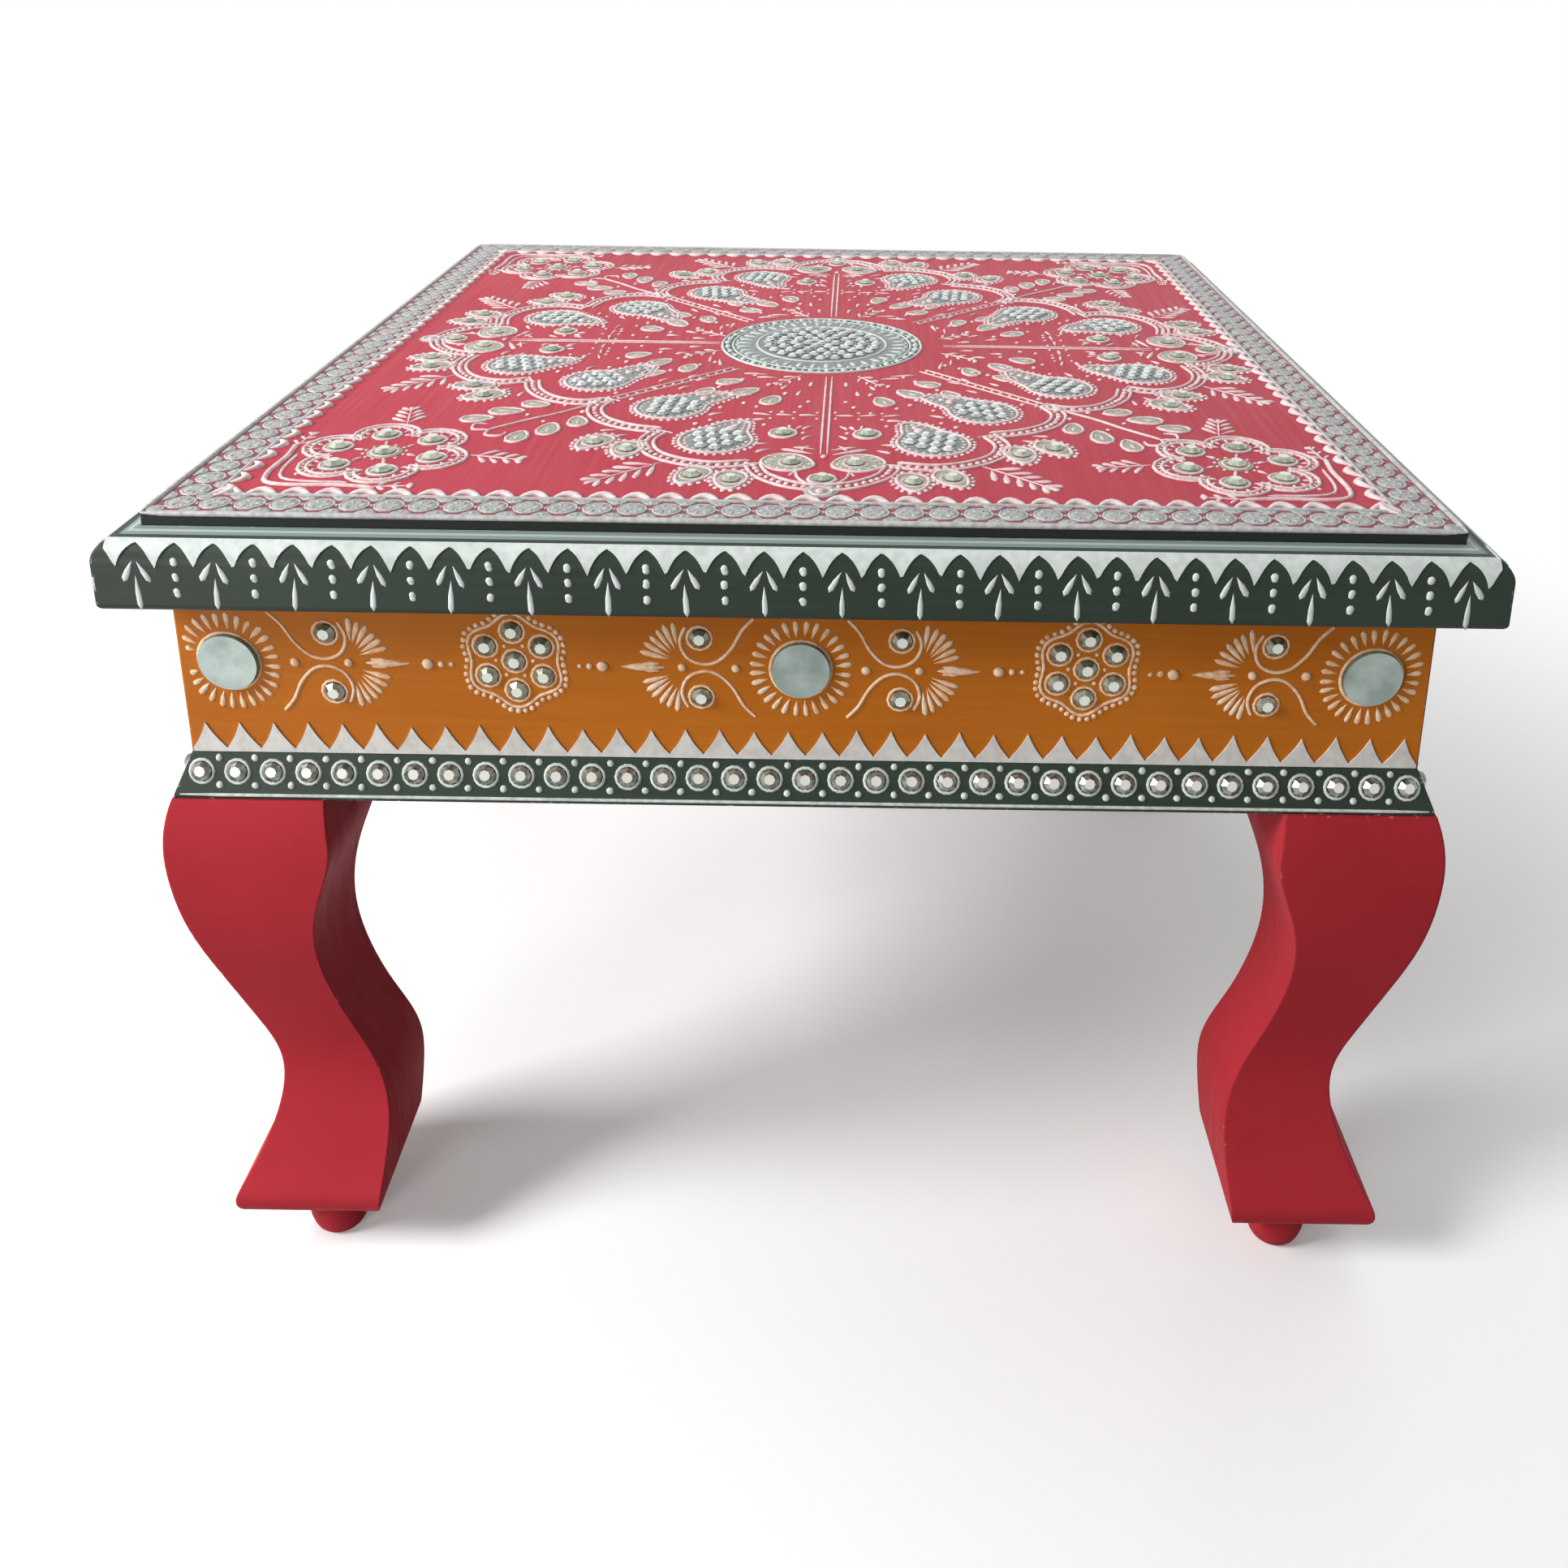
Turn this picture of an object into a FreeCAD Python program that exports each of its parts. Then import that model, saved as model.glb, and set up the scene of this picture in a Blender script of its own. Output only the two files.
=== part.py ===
import FreeCAD, Part
import os
from math import atan2, cos, degrees, floor, hypot, pi, sin

# Bajot low table: a painted square top with a moulded edge, a leaning apron, a flared
# base moulding and four legs sawn to an S in two directions. Lengths are in millimetres.
# The origin is on the floor under the middle of the table, +Z is up and -Y is the front.

Vector = FreeCAD.Vector
up = Vector(0, 0, 1)

# top panel and core board
panel_width = 280.0
panel_thickness = 5.0
panel_proud = 2.6            # the painted panel stands this far above the edge's ledge
panel_gap = 0.2              # round the panel in its rebate
rebate_width = 3.0           # the panel laps this far over the edge moulding
core_thickness = 13.6

# edge moulding: ledge, quirk and round nose
ledge_width = 3.5
ledge_drop = 0.7
quirk_width = 1.3
quirk_drop = 0.2
nose_bulge = 4.3             # from the quirk out to the furthest line
nose_crown_out = 2.2         # middle of the upper round, out from the quirk
nose_crown_drop = 1.5        # and down from it
nose_brow_in = 0.8           # end of the upper round, in from the furthest line
nose_brow_height = 10.4      # and above the board's underside
nose_lip_round = 1.6         # round of the lower edge

# apron
apron_height = 39.4
apron_inset = 1.3            # top of the apron's face, in from the panel's edge
apron_lean = 3.3             # the face stands this much further out at the waist
apron_thickness = 12.0       # at the waist

# base moulding
band_height = 10.3
band_flare = 4.6
band_lip = 1.0

# legs
leg_height = 135.5           # foot's underside to shoulder
leg_clearance = 0.2          # between the post and the apron
post_width = 18.0
post_gap = 1.0               # above the post, under the core board
shoulder_out = 0.6           # these four are measured from the base moulding's lower edge
knee_out = 4.8
ankle_in = 4.5
foot_out = 17.0
heel_step = 7.2              # these three are measured from the post's inner face
ankle_step = 3.0
calf_step = 10.0
foot_round = 6.5

# share of the leg's height, share of the throw from the ankle to the toe or the knee
toe_shares = ((0.0, 1.0), (0.125, 0.46), (0.211, 0.19))
shin_shares = ((0.338, 0.0), (0.47, 0.22), (0.603, 0.6), (0.745, 0.935), (0.839, 0.99), (0.924, 0.89))
# the same for the inner line: from the ankle to the heel or the calf, then the calf to the post
heel_shares = ((0.0, 1.0), (0.148, 0.2))
calf_shares = ((0.231, 0.0), (0.394, 0.51), (0.526, 0.91), (0.64, 1.0))
hock_shares = ((0.745, 0.78), (0.811, 0.46), (0.877, 0.1))
straight_share = 0.915        # above this share of the height the inner line is straight

# turned foot knobs
knob_height = 13.2
knob_radius = 7.8
knob_front_inset = 18.1      # knob's axis, back from the toe
knob_side_inset = 28.1       # and in from the toe at the side
# the knob's outline from the floor up: share of its height, share of its radius
knob_shares = (
    (0.0, 0.72), (0.05, 0.82), (0.13, 0.9), (0.26, 0.96),
    (0.45, 1.0), (0.75, 1.0), (0.93, 0.95), (1.0, 0.86),
)
spigot_radius = 4.0
spigot_length = 9.0
spigot_clearance = 0.15
bore_spare = 1.0

# glue blocks and fixings
block_length = 60.0
block_size = 14.0
block_screw_spacing = 36.0
block_screw_bite = 7.0       # into the core board
screw_radius = 1.8
screw_head_radius = 3.6
screw_head_depth = 2.2
leg_screw_bite = 6.0         # into the apron
leg_screw_low = 15.0         # lower and upper screw, above the shoulder
leg_screw_high = 27.0
hole_clearance = 0.15
pin_radius = 0.7
pin_length = 18.0
pin_cover = 2.5              # wood or stopping over a punched pin
edging_pin_height = 6.0      # edging pins above the board's underside
pin_spacing = 80.0
pins_per_side = 3

# mirrors and stones
mirror_radius = 6.5
mirror_thickness = 1.4
mirror_inset = 14.0          # end mirror's middle, in from the waist's corner
ornament_height = 22.9       # middle line of the apron's ornament above the waist
ornament_shift = -1.0        # it is painted a little to the left of the side's middle
flower_stone_radius = 2.3
stone_height = 1.4
flower_radius = 7.2
flower_raise = 1.0           # the apron's flowers above the middle line
scroll_reach = 22.5          # scroll stones, from the mirror's middle
scroll_spread = 7.2
band_stone_radius = 2.3
band_stone_pitch = 8.23
band_stone_margin = 4.0
band_row_share = 0.54        # the row's line on the face, from the lower edge
girdle_share = 0.35          # upright girdle of a cut stone, of its height
table_share = 0.55           # flat table on a cut stone, of its radius
stone_facets = 8
chip_radius = 1.6
chip_height = 1.1
chip_facets = 6
petals = 6                   # stones round a flower's middle one
paisley_pitch = 3.7
corner_flower_radius = 12.5
corner_stone_radius = 2.4
leaf_stone_radius = 2.1
medallion_ring_pitch = 4.1
medallion_rings = 4
chips_per_ring = 6           # each ring has this many more than the one inside it

# places on the top, as shares of half the panel's width: across, towards the edge
corner_flower_share = 0.72
garden_shift = 3.0           # the paisleys, leaves and buds sit this far to the right of the middle
paisley_shares = ((0.190, 0.636), (0.292, 0.457))
leaf_shares = ((0.400, 0.655), (0.338, 0.690), (0.213, 0.809), (0.148, 0.827), (0.075, 0.593))
bud_shares = ((-0.054, 0.743), (0.054, 0.743), (0.0, 0.818))
# rows of chips in a paisley: row, first column, number in the row, in pitches
paisley_row_shares = ((-1.5, -1.0, 3), (-0.5, -1.5, 4), (0.5, -1.0, 3), (1.5, -0.5, 2))

# levels, from the floor up
shoulder_level = knob_height + leg_height
waist_level = shoulder_level + band_height
board_level = waist_level + apron_height
panel_level = board_level + core_thickness
top_level = panel_level + panel_thickness
ledge_level = top_level - panel_proud

# half widths, from the middle of the table outwards
panel_half = panel_width / 2
core_half = panel_half - rebate_width
ledge_half = panel_half + ledge_width
quirk_half = ledge_half + quirk_width
nose_half = quirk_half + nose_bulge
apron_half = panel_half - apron_inset
waist_half = apron_half + apron_lean
apron_inner = waist_half - apron_thickness
band_half = waist_half + band_flare
post_outer = apron_inner - leg_clearance
post_inner = post_outer - post_width
post_middle = (post_outer + post_inner) / 2
foot_half = band_half + foot_out
knob_front_place = foot_half - knob_front_inset
knob_side_place = foot_half - knob_side_inset
overrun = panel_width

sides = (("front", 0), ("right", 90), ("back", 180), ("left", 270))
corners = (("front_left", 0), ("front_right", 90), ("back_right", 180), ("back_left", 270))


def turned(shape, angle):
    """A copy of the shape, turned about the table's upright axis."""
    copy = shape.copy()
    copy.rotate(Vector(0, 0, 0), up, angle)
    return copy


def all_round(shapes):
    """The shapes of one side or corner, repeated on all four."""
    return [turned(shape, angle) for _, angle in sides for shape in shapes]


def placed(shape, place, normal):
    """A copy of the shape with its base at the place and its Z axis along the normal."""
    turn = FreeCAD.Rotation(Vector(1, 0, 0), Vector(0, 0, 0), normal, "ZXY")
    copy = shape.copy()
    copy.Placement = FreeCAD.Placement(place, turn)
    return copy


def side_point(out, level):
    """A point of a front section: its distance in front of the middle, and its height."""
    return Vector(0, -out, level)


def mitred(edges, reach):
    """A front strip from its section's edges, cut to 45 degree mitres at both ends."""
    face = Part.Face(Part.Wire(edges))
    face.translate(Vector(-reach, 0, 0))
    strip = face.extrude(Vector(2 * reach, 0, 0))
    corners_of_wedge = [Vector(0, 0, 0), Vector(-reach, -reach, 0), Vector(reach, -reach, 0), Vector(0, 0, 0)]
    wedge = Part.Face(Part.makePolygon(corners_of_wedge)).extrude(up * top_level)
    return strip.common(wedge).Solids[0]


def lines(points):
    """Straight edges through the points in order."""
    return [Part.makeLine(first, second) for first, second in zip(points, points[1:])]


def prism(half_x, half_y, low, high):
    """An upright block about the middle."""
    return Part.makeBox(2 * half_x, 2 * half_y, high - low, Vector(-half_x, -half_y, low))


def turned_solid(points):
    """A solid of revolution about Z, from points of radius and height on the axis's right."""
    outline = [Vector(radius, 0, level) for radius, level in points]
    face = Part.Face(Part.makePolygon(outline + outline[:1]))
    return face.revolve(Vector(0, 0, 0), up, 360)


def drilled(shape, cutters):
    """The shape less every cutter that reaches into its box."""
    near = [cutter for cutter in cutters if shape.BoundBox.intersect(cutter.BoundBox)]
    return shape.cut(near).Solids[0] if near else shape


# board

def make_top_panel():
    return prism(panel_half, panel_half, panel_level, top_level)


def make_core_board(cutters):
    return drilled(prism(core_half, core_half, board_level, panel_level), cutters)


def make_edge_moulding():
    rebate_half = panel_half + panel_gap
    quirk_level = ledge_level - ledge_drop - quirk_drop
    nose_top = side_point(quirk_half, quirk_level)
    nose_crown = side_point(quirk_half + nose_crown_out, quirk_level - nose_crown_drop)
    nose_brow = side_point(nose_half - nose_brow_in, board_level + nose_brow_height)
    lip_top = side_point(nose_half, board_level + nose_lip_round)
    lip_cut = nose_lip_round * (1 - cos(pi / 4))
    lip_middle = side_point(nose_half - lip_cut, board_level + lip_cut)
    lip_base = side_point(nose_half - nose_lip_round, board_level)
    rising = [
        side_point(core_half, board_level),
        side_point(core_half, panel_level),
        side_point(rebate_half, panel_level),
        side_point(rebate_half, ledge_level),
        side_point(ledge_half, ledge_level - ledge_drop),
        nose_top,
    ]
    nose = [
        Part.Arc(nose_top, nose_crown, nose_brow).toShape(),
        Part.makeLine(nose_brow, lip_top),
        Part.Arc(lip_top, lip_middle, lip_base).toShape(),
    ]
    base = Part.makeLine(lip_base, rising[0])
    return mitred(lines(rising) + nose + [base], nose_half + nose_bulge)


# apron and base moulding

def make_apron():
    outline = [
        side_point(apron_inner, waist_level),
        side_point(apron_inner, board_level),
        side_point(apron_half, board_level),
        side_point(waist_half, waist_level),
    ]
    return mitred(lines(outline + outline[:1]), waist_half)


def make_base_moulding():
    outline = [
        side_point(apron_inner, shoulder_level),
        side_point(apron_inner, waist_level),
        side_point(waist_half, waist_level),
        side_point(band_half, shoulder_level + band_lip),
        side_point(band_half, shoulder_level),
    ]
    return mitred(lines(outline + outline[:1]), band_half)


# legs and foot knobs

def between(low, high, share):
    return low + (high - low) * share


def leg_outline():
    """The S of a leg as a face in the XZ plane, with its post, growing away from the middle."""
    shoulder = band_half + shoulder_out
    ankle = band_half - ankle_in
    knee = band_half + knee_out
    ankle_inside = post_inner + ankle_step
    heel = post_inner + heel_step
    calf = post_inner + calf_step

    def at(height_share, out):
        return Vector(-out, 0, knob_height + leg_height * height_share)

    outer = [at(height, between(ankle, foot_half, share)) for height, share in toe_shares]
    outer += [at(height, between(ankle, knee, share)) for height, share in shin_shares]
    outer.append(at(1, shoulder))
    inner = [at(height, between(ankle_inside, heel, share)) for height, share in heel_shares]
    inner += [at(height, between(ankle_inside, calf, share)) for height, share in calf_shares]
    inner += [at(height, between(post_inner, calf, share)) for height, share in hock_shares]
    inner.append(at(straight_share, post_inner))
    outer_line = Part.BSplineCurve()
    outer_line.interpolate(outer)
    inner_line = Part.BSplineCurve()
    inner_line.interpolate(inner)
    post_top = board_level - post_gap
    post = [
        inner[-1],
        Vector(-post_inner, 0, post_top),
        Vector(-post_outer, 0, post_top),
        Vector(-post_outer, 0, shoulder_level),
        outer[-1],
    ]
    sole = Part.makeLine(outer[0], inner[0])
    return Part.Face(Part.Wire([inner_line.toShape()] + lines(post) + [outer_line.toShape(), sole]))


def make_leg(knob_place, cutters):
    """A front left leg: the S sawn from the front and again from the side, bored for its knob."""
    face = leg_outline()
    from_front = face.extrude(Vector(0, -overrun, 0))
    from_side = face.copy()
    from_side.rotate(Vector(0, 0, 0), up, 90)
    from_side = from_side.extrude(Vector(-overrun, 0, 0))
    leg = from_front.common(from_side).Solids[0]
    sole = [edge for edge in leg.Edges if abs(edge.BoundBox.ZMax - knob_height) < spigot_clearance]
    leg = leg.makeFillet(foot_round, sole)
    bore_radius = spigot_radius + spigot_clearance
    bore = Part.makeCylinder(bore_radius, knob_height + spigot_length + bore_spare, knob_place)
    return drilled(leg.cut(bore).Solids[0], cutters)


def make_foot_knob(knob_place):
    points = [(0, 0)]
    points += [(knob_radius * share, knob_height * height) for height, share in knob_shares]
    points += [
        (spigot_radius, knob_height),
        (spigot_radius, knob_height + spigot_length),
        (0, knob_height + spigot_length),
    ]
    return placed(turned_solid(points), knob_place, up)


# glue blocks, screws and pins

def make_glue_block(cutters):
    low = board_level - block_size
    corner = Vector(-block_length / 2, -apron_inner, low)
    block = Part.makeBox(block_length, block_size, block_size, corner)
    return drilled(block, cutters)


def make_screw(length, spare):
    """A countersunk screw, head at the origin, pointing along +Z; spare swells it to a cutter."""
    head_radius = screw_head_radius + spare
    shank_radius = screw_radius + spare
    points = [
        (0, 0),
        (head_radius, 0),
        (shank_radius, screw_head_depth),
        (shank_radius, length + spare),
        (0, length + spare),
    ]
    return turned_solid(points)


def make_pin(spare):
    """A headless pin along +Z."""
    radius = pin_radius + spare
    return Part.makeCylinder(radius, pin_length + 2 * spare, Vector(0, 0, -spare))


def leg_screws(spare):
    length = post_width + leg_clearance + leg_screw_bite
    screw = make_screw(length, spare)
    low = shoulder_level + leg_screw_low
    high = shoulder_level + leg_screw_high
    to_side = placed(screw, Vector(-post_inner, -post_middle, high), Vector(-1, 0, 0))
    to_front = placed(screw, Vector(-post_middle, -post_inner, low), Vector(0, -1, 0))
    return all_round([to_side, to_front])


def block_screws(spare):
    screw = make_screw(block_size + block_screw_bite, spare)
    back = apron_inner - block_size / 2
    low = board_level - block_size
    places = [Vector(way * block_screw_spacing / 2, -back, low) for way in (-1, 1)]
    return all_round([placed(screw, place, up) for place in places])


def along_side():
    """Places of the pins along a front side."""
    first = -pin_spacing * (pins_per_side - 1) / 2
    return [first + pin_spacing * number for number in range(pins_per_side)]


def edging_pins(spare):
    pin = make_pin(spare)
    level = board_level + edging_pin_height
    out = nose_half - nose_brow_in - pin_cover
    back = Vector(0, 1, 0)
    return all_round([placed(pin, Vector(x, -out, level), back) for x in along_side()])


def moulding_pins(spare):
    pin = make_pin(spare)
    level = shoulder_level + pin_cover
    out = (apron_inner + waist_half) / 2
    return all_round([placed(pin, Vector(x, -out, level), up) for x in along_side()])


# mirrors and cut stones

def make_stone(radius, height, count):
    """A flat-backed cut stone on the XY plane: girdle, crown facets and a flat table."""
    def ring(ring_radius, level):
        angles = [2 * pi * number / count for number in range(count)]
        return [Vector(ring_radius * cos(angle), ring_radius * sin(angle), level) for angle in angles]

    rings = [ring(radius, 0), ring(radius, height * girdle_share), ring(radius * table_share, height)]
    faces = [Part.Face(Part.makePolygon(rings[0] + rings[0][:1]))]
    faces.append(Part.Face(Part.makePolygon(rings[2] + rings[2][:1])))
    for lower, upper in zip(rings, rings[1:]):
        for number in range(count):
            after = (number + 1) % count
            corner = [lower[number], lower[after], upper[after], upper[number], lower[number]]
            faces.append(Part.Face(Part.makePolygon(corner)))
    solid = Part.Solid(Part.Shell(faces))
    if solid.Volume < 0:
        solid.reverse()
    return solid


def on_face(shape, base_out, base_level, top_out, top_level_here, x, climb):
    """The shape seated on a leaning front face, at x and at a distance up the face."""
    rise = top_level_here - base_level
    run = base_out - top_out
    slope = hypot(rise, run)
    place = Vector(x, -base_out + run * climb / slope, base_level + rise * climb / slope)
    normal = Vector(0, -rise / slope, run / slope)
    return placed(shape, place, normal)


def on_apron(shape, x, climb):
    return on_face(shape, waist_half, waist_level, apron_half, board_level, x, climb)


def make_mirrors():
    disc = Part.makeCylinder(mirror_radius, mirror_thickness)
    end = waist_half - mirror_inset
    return [on_apron(disc, x + ornament_shift, ornament_height) for x in (-end, 0, end)]


def make_apron_stones():
    stone = make_stone(flower_stone_radius, stone_height, stone_facets)
    end = waist_half - mirror_inset
    flower_height = ornament_height + flower_raise
    places = []
    for flower in (-end / 2, end / 2):
        places.append((flower, flower_height))
        for number in range(petals):
            angle = pi / 2 + 2 * pi * number / petals
            x = flower + flower_radius * cos(angle)
            places.append((x, flower_height + flower_radius * sin(angle)))
    for x in (-end + scroll_reach, -scroll_reach, scroll_reach, end - scroll_reach):
        places += [(x, ornament_height + way * scroll_spread) for way in (-1, 1)]
    return [on_apron(stone, x + ornament_shift, climb) for x, climb in places]


def make_band_stones():
    stone = make_stone(band_stone_radius, stone_height, stone_facets)
    face_base = shoulder_level + band_lip
    climb = hypot(waist_level - face_base, band_flare) * band_row_share
    reach = (waist_half + band_half) / 2 - band_stone_margin
    count = 1 + floor(2 * reach / band_stone_pitch)
    first = -band_stone_pitch * (count - 1) / 2
    places = [first + band_stone_pitch * number for number in range(count)]
    return [on_face(stone, band_half, face_base, waist_half, waist_level, x, climb) for x in places]


def on_top(shape, x, out, angle):
    """The shape on the panel, its X axis turned by the angle."""
    return placed(turned(shape, angle), Vector(x, -out, top_level), up)


def corner_flower_stones():
    stone = make_stone(corner_stone_radius, stone_height, stone_facets)
    middle = corner_flower_share * panel_half
    stones = [on_top(stone, -middle, middle, 0)]
    for number in range(petals):
        angle = pi / 4 + 2 * pi * number / petals
        x = -middle + corner_flower_radius * cos(angle)
        stones.append(on_top(stone, x, middle - corner_flower_radius * sin(angle), 0))
    return all_round(stones)


def mirrored_places(shares):
    """Places on the front quarter, on both sides of its middle line."""
    places = [(x * panel_half, out * panel_half) for x, out in shares]
    return places + [(-x, out) for x, out in places]


def garden(shapes):
    """The shapes of the garden's front quarter, on all four and moved to where it is painted."""
    shapes = all_round(shapes)
    for shape in shapes:
        shape.translate(Vector(garden_shift, 0, 0))
    return shapes


def leaf_stones():
    stone = make_stone(leaf_stone_radius, stone_height, stone_facets)
    return garden([on_top(stone, x, out, 0) for x, out in mirrored_places(leaf_shares)])


def bud_stones():
    stone = make_stone(leaf_stone_radius, stone_height, stone_facets)
    places = [(x * panel_half, out * panel_half) for x, out in bud_shares]
    return garden([on_top(stone, x, out, 0) for x, out in places])


def paisley_chips():
    """Chips in staggered rows, square to the line from the middle of the top."""
    chip = make_stone(chip_radius, chip_height, chip_facets)
    chips = []
    for x, out in mirrored_places(paisley_shares):
        turn = atan2(x, out)
        for row, first, count in paisley_row_shares:
            for number in range(count):
                across = (first + number) * paisley_pitch
                along = row * paisley_pitch
                chip_x = x + across * cos(turn) + along * sin(turn)
                chip_out = out - across * sin(turn) + along * cos(turn)
                chips.append(on_top(chip, chip_x, chip_out, degrees(turn)))
    return garden(chips)


def medallion_chips():
    chip = make_stone(chip_radius, chip_height, chip_facets)
    chips = [on_top(chip, 0, 0, 0)]
    for ring in range(1, medallion_rings + 1):
        count = chips_per_ring * ring
        for number in range(count):
            angle = 2 * pi * number / count
            radius = ring * medallion_ring_pitch
            chips.append(on_top(chip, radius * cos(angle), radius * sin(angle), degrees(angle)))
    return chips


def save(name, shapes):
    shape = Part.makeCompound(shapes) if len(shapes) > 1 else shapes[0]
    shape.exportStep(os.path.join("parts", name + ".step"))
    print(name, len(shapes), "solid(s)", "valid" if shape.isValid() else "NOT VALID")


def main():
    os.makedirs("parts", exist_ok=True)
    leg_holes = leg_screws(hole_clearance)
    block_holes = block_screws(hole_clearance)
    edging_holes = edging_pins(hole_clearance)
    moulding_holes = moulding_pins(hole_clearance)

    save("top_panel", [make_top_panel()])
    save("core_board", [make_core_board(block_holes + edging_holes)])
    apron = make_apron()
    moulding = make_edge_moulding()
    base = make_base_moulding()
    mirrors = make_mirrors()
    apron_stones = make_apron_stones()
    band_stones = make_band_stones()
    for side, angle in sides:
        save("edge_moulding_" + side, [drilled(turned(moulding, angle), edging_holes)])
        save("apron_" + side, [drilled(turned(apron, angle), leg_holes + moulding_holes)])
        save("base_moulding_" + side, [drilled(turned(base, angle), moulding_holes)])
        save("glue_block_" + side, [turned(make_glue_block(block_holes), angle)])
        save("mirrors_" + side, [turned(mirror, angle) for mirror in mirrors])
        save("apron_stones_" + side, [turned(stone, angle) for stone in apron_stones])
        save("band_stones_" + side, [turned(stone, angle) for stone in band_stones])
    # a knob is nearer the table's front or back than its sides, so every other corner is mirrored
    first_place = Vector(-knob_side_place, -knob_front_place, 0)
    second_place = Vector(-knob_front_place, -knob_side_place, 0)
    knob_places = (first_place, second_place)
    for number, (corner, angle) in enumerate(corners):
        knob_place = knob_places[number % len(knob_places)]
        save("leg_" + corner, [turned(make_leg(knob_place, leg_holes), angle)])
        save("foot_knob_" + corner, [turned(make_foot_knob(knob_place), angle)])
    save("leg_screws", leg_screws(0))
    save("block_screws", block_screws(0))
    save("edging_pins", edging_pins(0))
    save("moulding_pins", moulding_pins(0))
    save("corner_flower_stones", corner_flower_stones())
    save("leaf_stones", leaf_stones())
    save("bud_stones", bud_stones())
    save("paisley_chips", paisley_chips())
    save("medallion_chips", medallion_chips())


main()
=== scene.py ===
import bpy
import random
from math import atan2, cos, exp, hypot, pi, radians, sin
from mathutils import Matrix, Vector


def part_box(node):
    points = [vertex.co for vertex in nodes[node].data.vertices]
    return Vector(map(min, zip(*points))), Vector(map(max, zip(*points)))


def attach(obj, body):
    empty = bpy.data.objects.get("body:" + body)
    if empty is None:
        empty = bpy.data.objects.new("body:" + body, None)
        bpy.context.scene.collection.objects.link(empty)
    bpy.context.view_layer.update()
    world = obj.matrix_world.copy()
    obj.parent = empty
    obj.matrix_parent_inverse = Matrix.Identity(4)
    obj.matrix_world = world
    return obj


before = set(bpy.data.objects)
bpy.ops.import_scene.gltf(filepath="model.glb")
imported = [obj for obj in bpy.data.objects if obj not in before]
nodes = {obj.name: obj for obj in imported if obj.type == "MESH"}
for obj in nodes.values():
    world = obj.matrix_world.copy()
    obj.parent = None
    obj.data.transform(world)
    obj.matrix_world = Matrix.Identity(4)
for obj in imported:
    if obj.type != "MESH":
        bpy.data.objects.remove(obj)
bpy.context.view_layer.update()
mm = 0.001
sideTurns = {"front": 0, "right": 90, "back": 180, "left": 270}

# camera, read from the photograph: position, tilt and lens
cameraSettings = {
    "place": (10.0, -390.5, 321.8),      # mm
    "lookDown": 30.3,                    # degrees
    "turn": -0.13,
    "roll": 0.9,
    "focalPixels": 1576.0,
    "imagePixels": 1932,
    "axisPixel": (1050.0, 855.6),        # where the lens points, in the photograph
}


def makeCamera(s):
    camera = bpy.data.cameras.new("camera")
    camera.sensor_width = 36
    camera.lens = s["focalPixels"] / s["imagePixels"] * camera.sensor_width
    camera.shift_x = 0.5 - s["axisPixel"][0] / s["imagePixels"]
    camera.shift_y = s["axisPixel"][1] / s["imagePixels"] - 0.5
    camera.clip_start = 0.01
    holder = bpy.data.objects.new("camera", camera)
    bpy.context.scene.collection.objects.link(holder)
    turn = Matrix.Rotation(radians(s["turn"]), 4, "Z")
    tilt = Matrix.Rotation(radians(90 - s["lookDown"]), 4, "X")
    roll = Matrix.Rotation(radians(s["roll"]), 4, "Z")
    holder.matrix_world = Matrix.Translation(Vector(s["place"]) * mm) @ turn @ tilt @ roll
    bpy.context.scene.camera = holder


makeCamera(cameraSettings)
print("camera set")


# materials

def linear(hexColor):
    # sRGB hex to linear
    parts = [int(hexColor[i:i + 2], 16) / 255 for i in (1, 3, 5)]
    return [p / 12.92 if p <= 0.04045 else ((p + 0.055) / 1.055) ** 2.4 for p in parts] + [1.0]


def addNode(tree, kind, inputs=None, **settings):
    # one shader node: an input is a value or another node's socket
    node = tree.nodes.new("ShaderNode" + kind)
    for name, value in settings.items():
        setattr(node, name, value)
    for name, value in (inputs or {}).items():
        if isinstance(value, bpy.types.NodeSocket):
            tree.links.new(value, node.inputs[name])
        else:
            node.inputs[name].default_value = value
    return node


def newMaterial(name):
    material = bpy.data.materials.new(name)
    material.use_nodes = True
    tree = material.node_tree
    tree.nodes.clear()
    return material, tree, addNode(tree, "TexCoord").outputs["Object"]


def finished(material, inputs):
    tree = material.node_tree
    shader = addNode(tree, "BsdfPrincipled", inputs)
    addNode(tree, "OutputMaterial", {"Surface": shader.outputs[0]})
    return material


def mixColors(tree, factor, first, second):
    # first and second are hex colours or sockets
    first, second = [linear(color) if isinstance(color, str) else color for color in (first, second)]
    return addNode(tree, "Mix", {0: factor, 6: first, 7: second}, data_type="RGBA").outputs[2]


def noise(tree, place, size, detail, **more):
    # clouds about as large as the size, in mm
    inputs = {"Vector": place, "Scale": 1 / (size * mm), "Detail": detail, **more}
    return addNode(tree, "TexNoise", inputs).outputs["Fac"]


def mapRange(tree, value, low, high, least=0.0, most=1.0, **settings):
    inputs = {"Value": value, "From Min": low, "From Max": high, "To Min": least, "To Max": most}
    return addNode(tree, "MapRange", inputs, **settings).outputs[0]


def calculate(tree, operation, *values):
    return addNode(tree, "Math", dict(enumerate(values)), operation=operation).outputs[0]


def outAndUp(tree, vector):
    # how far a vector reaches out from the middle, squarely, and how far up
    x, y, z = addNode(tree, "SeparateXYZ", {0: vector}).outputs
    return calculate(tree, "MAXIMUM", calculate(tree, "ABSOLUTE", x), calculate(tree, "ABSOLUTE", y)), z


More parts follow.
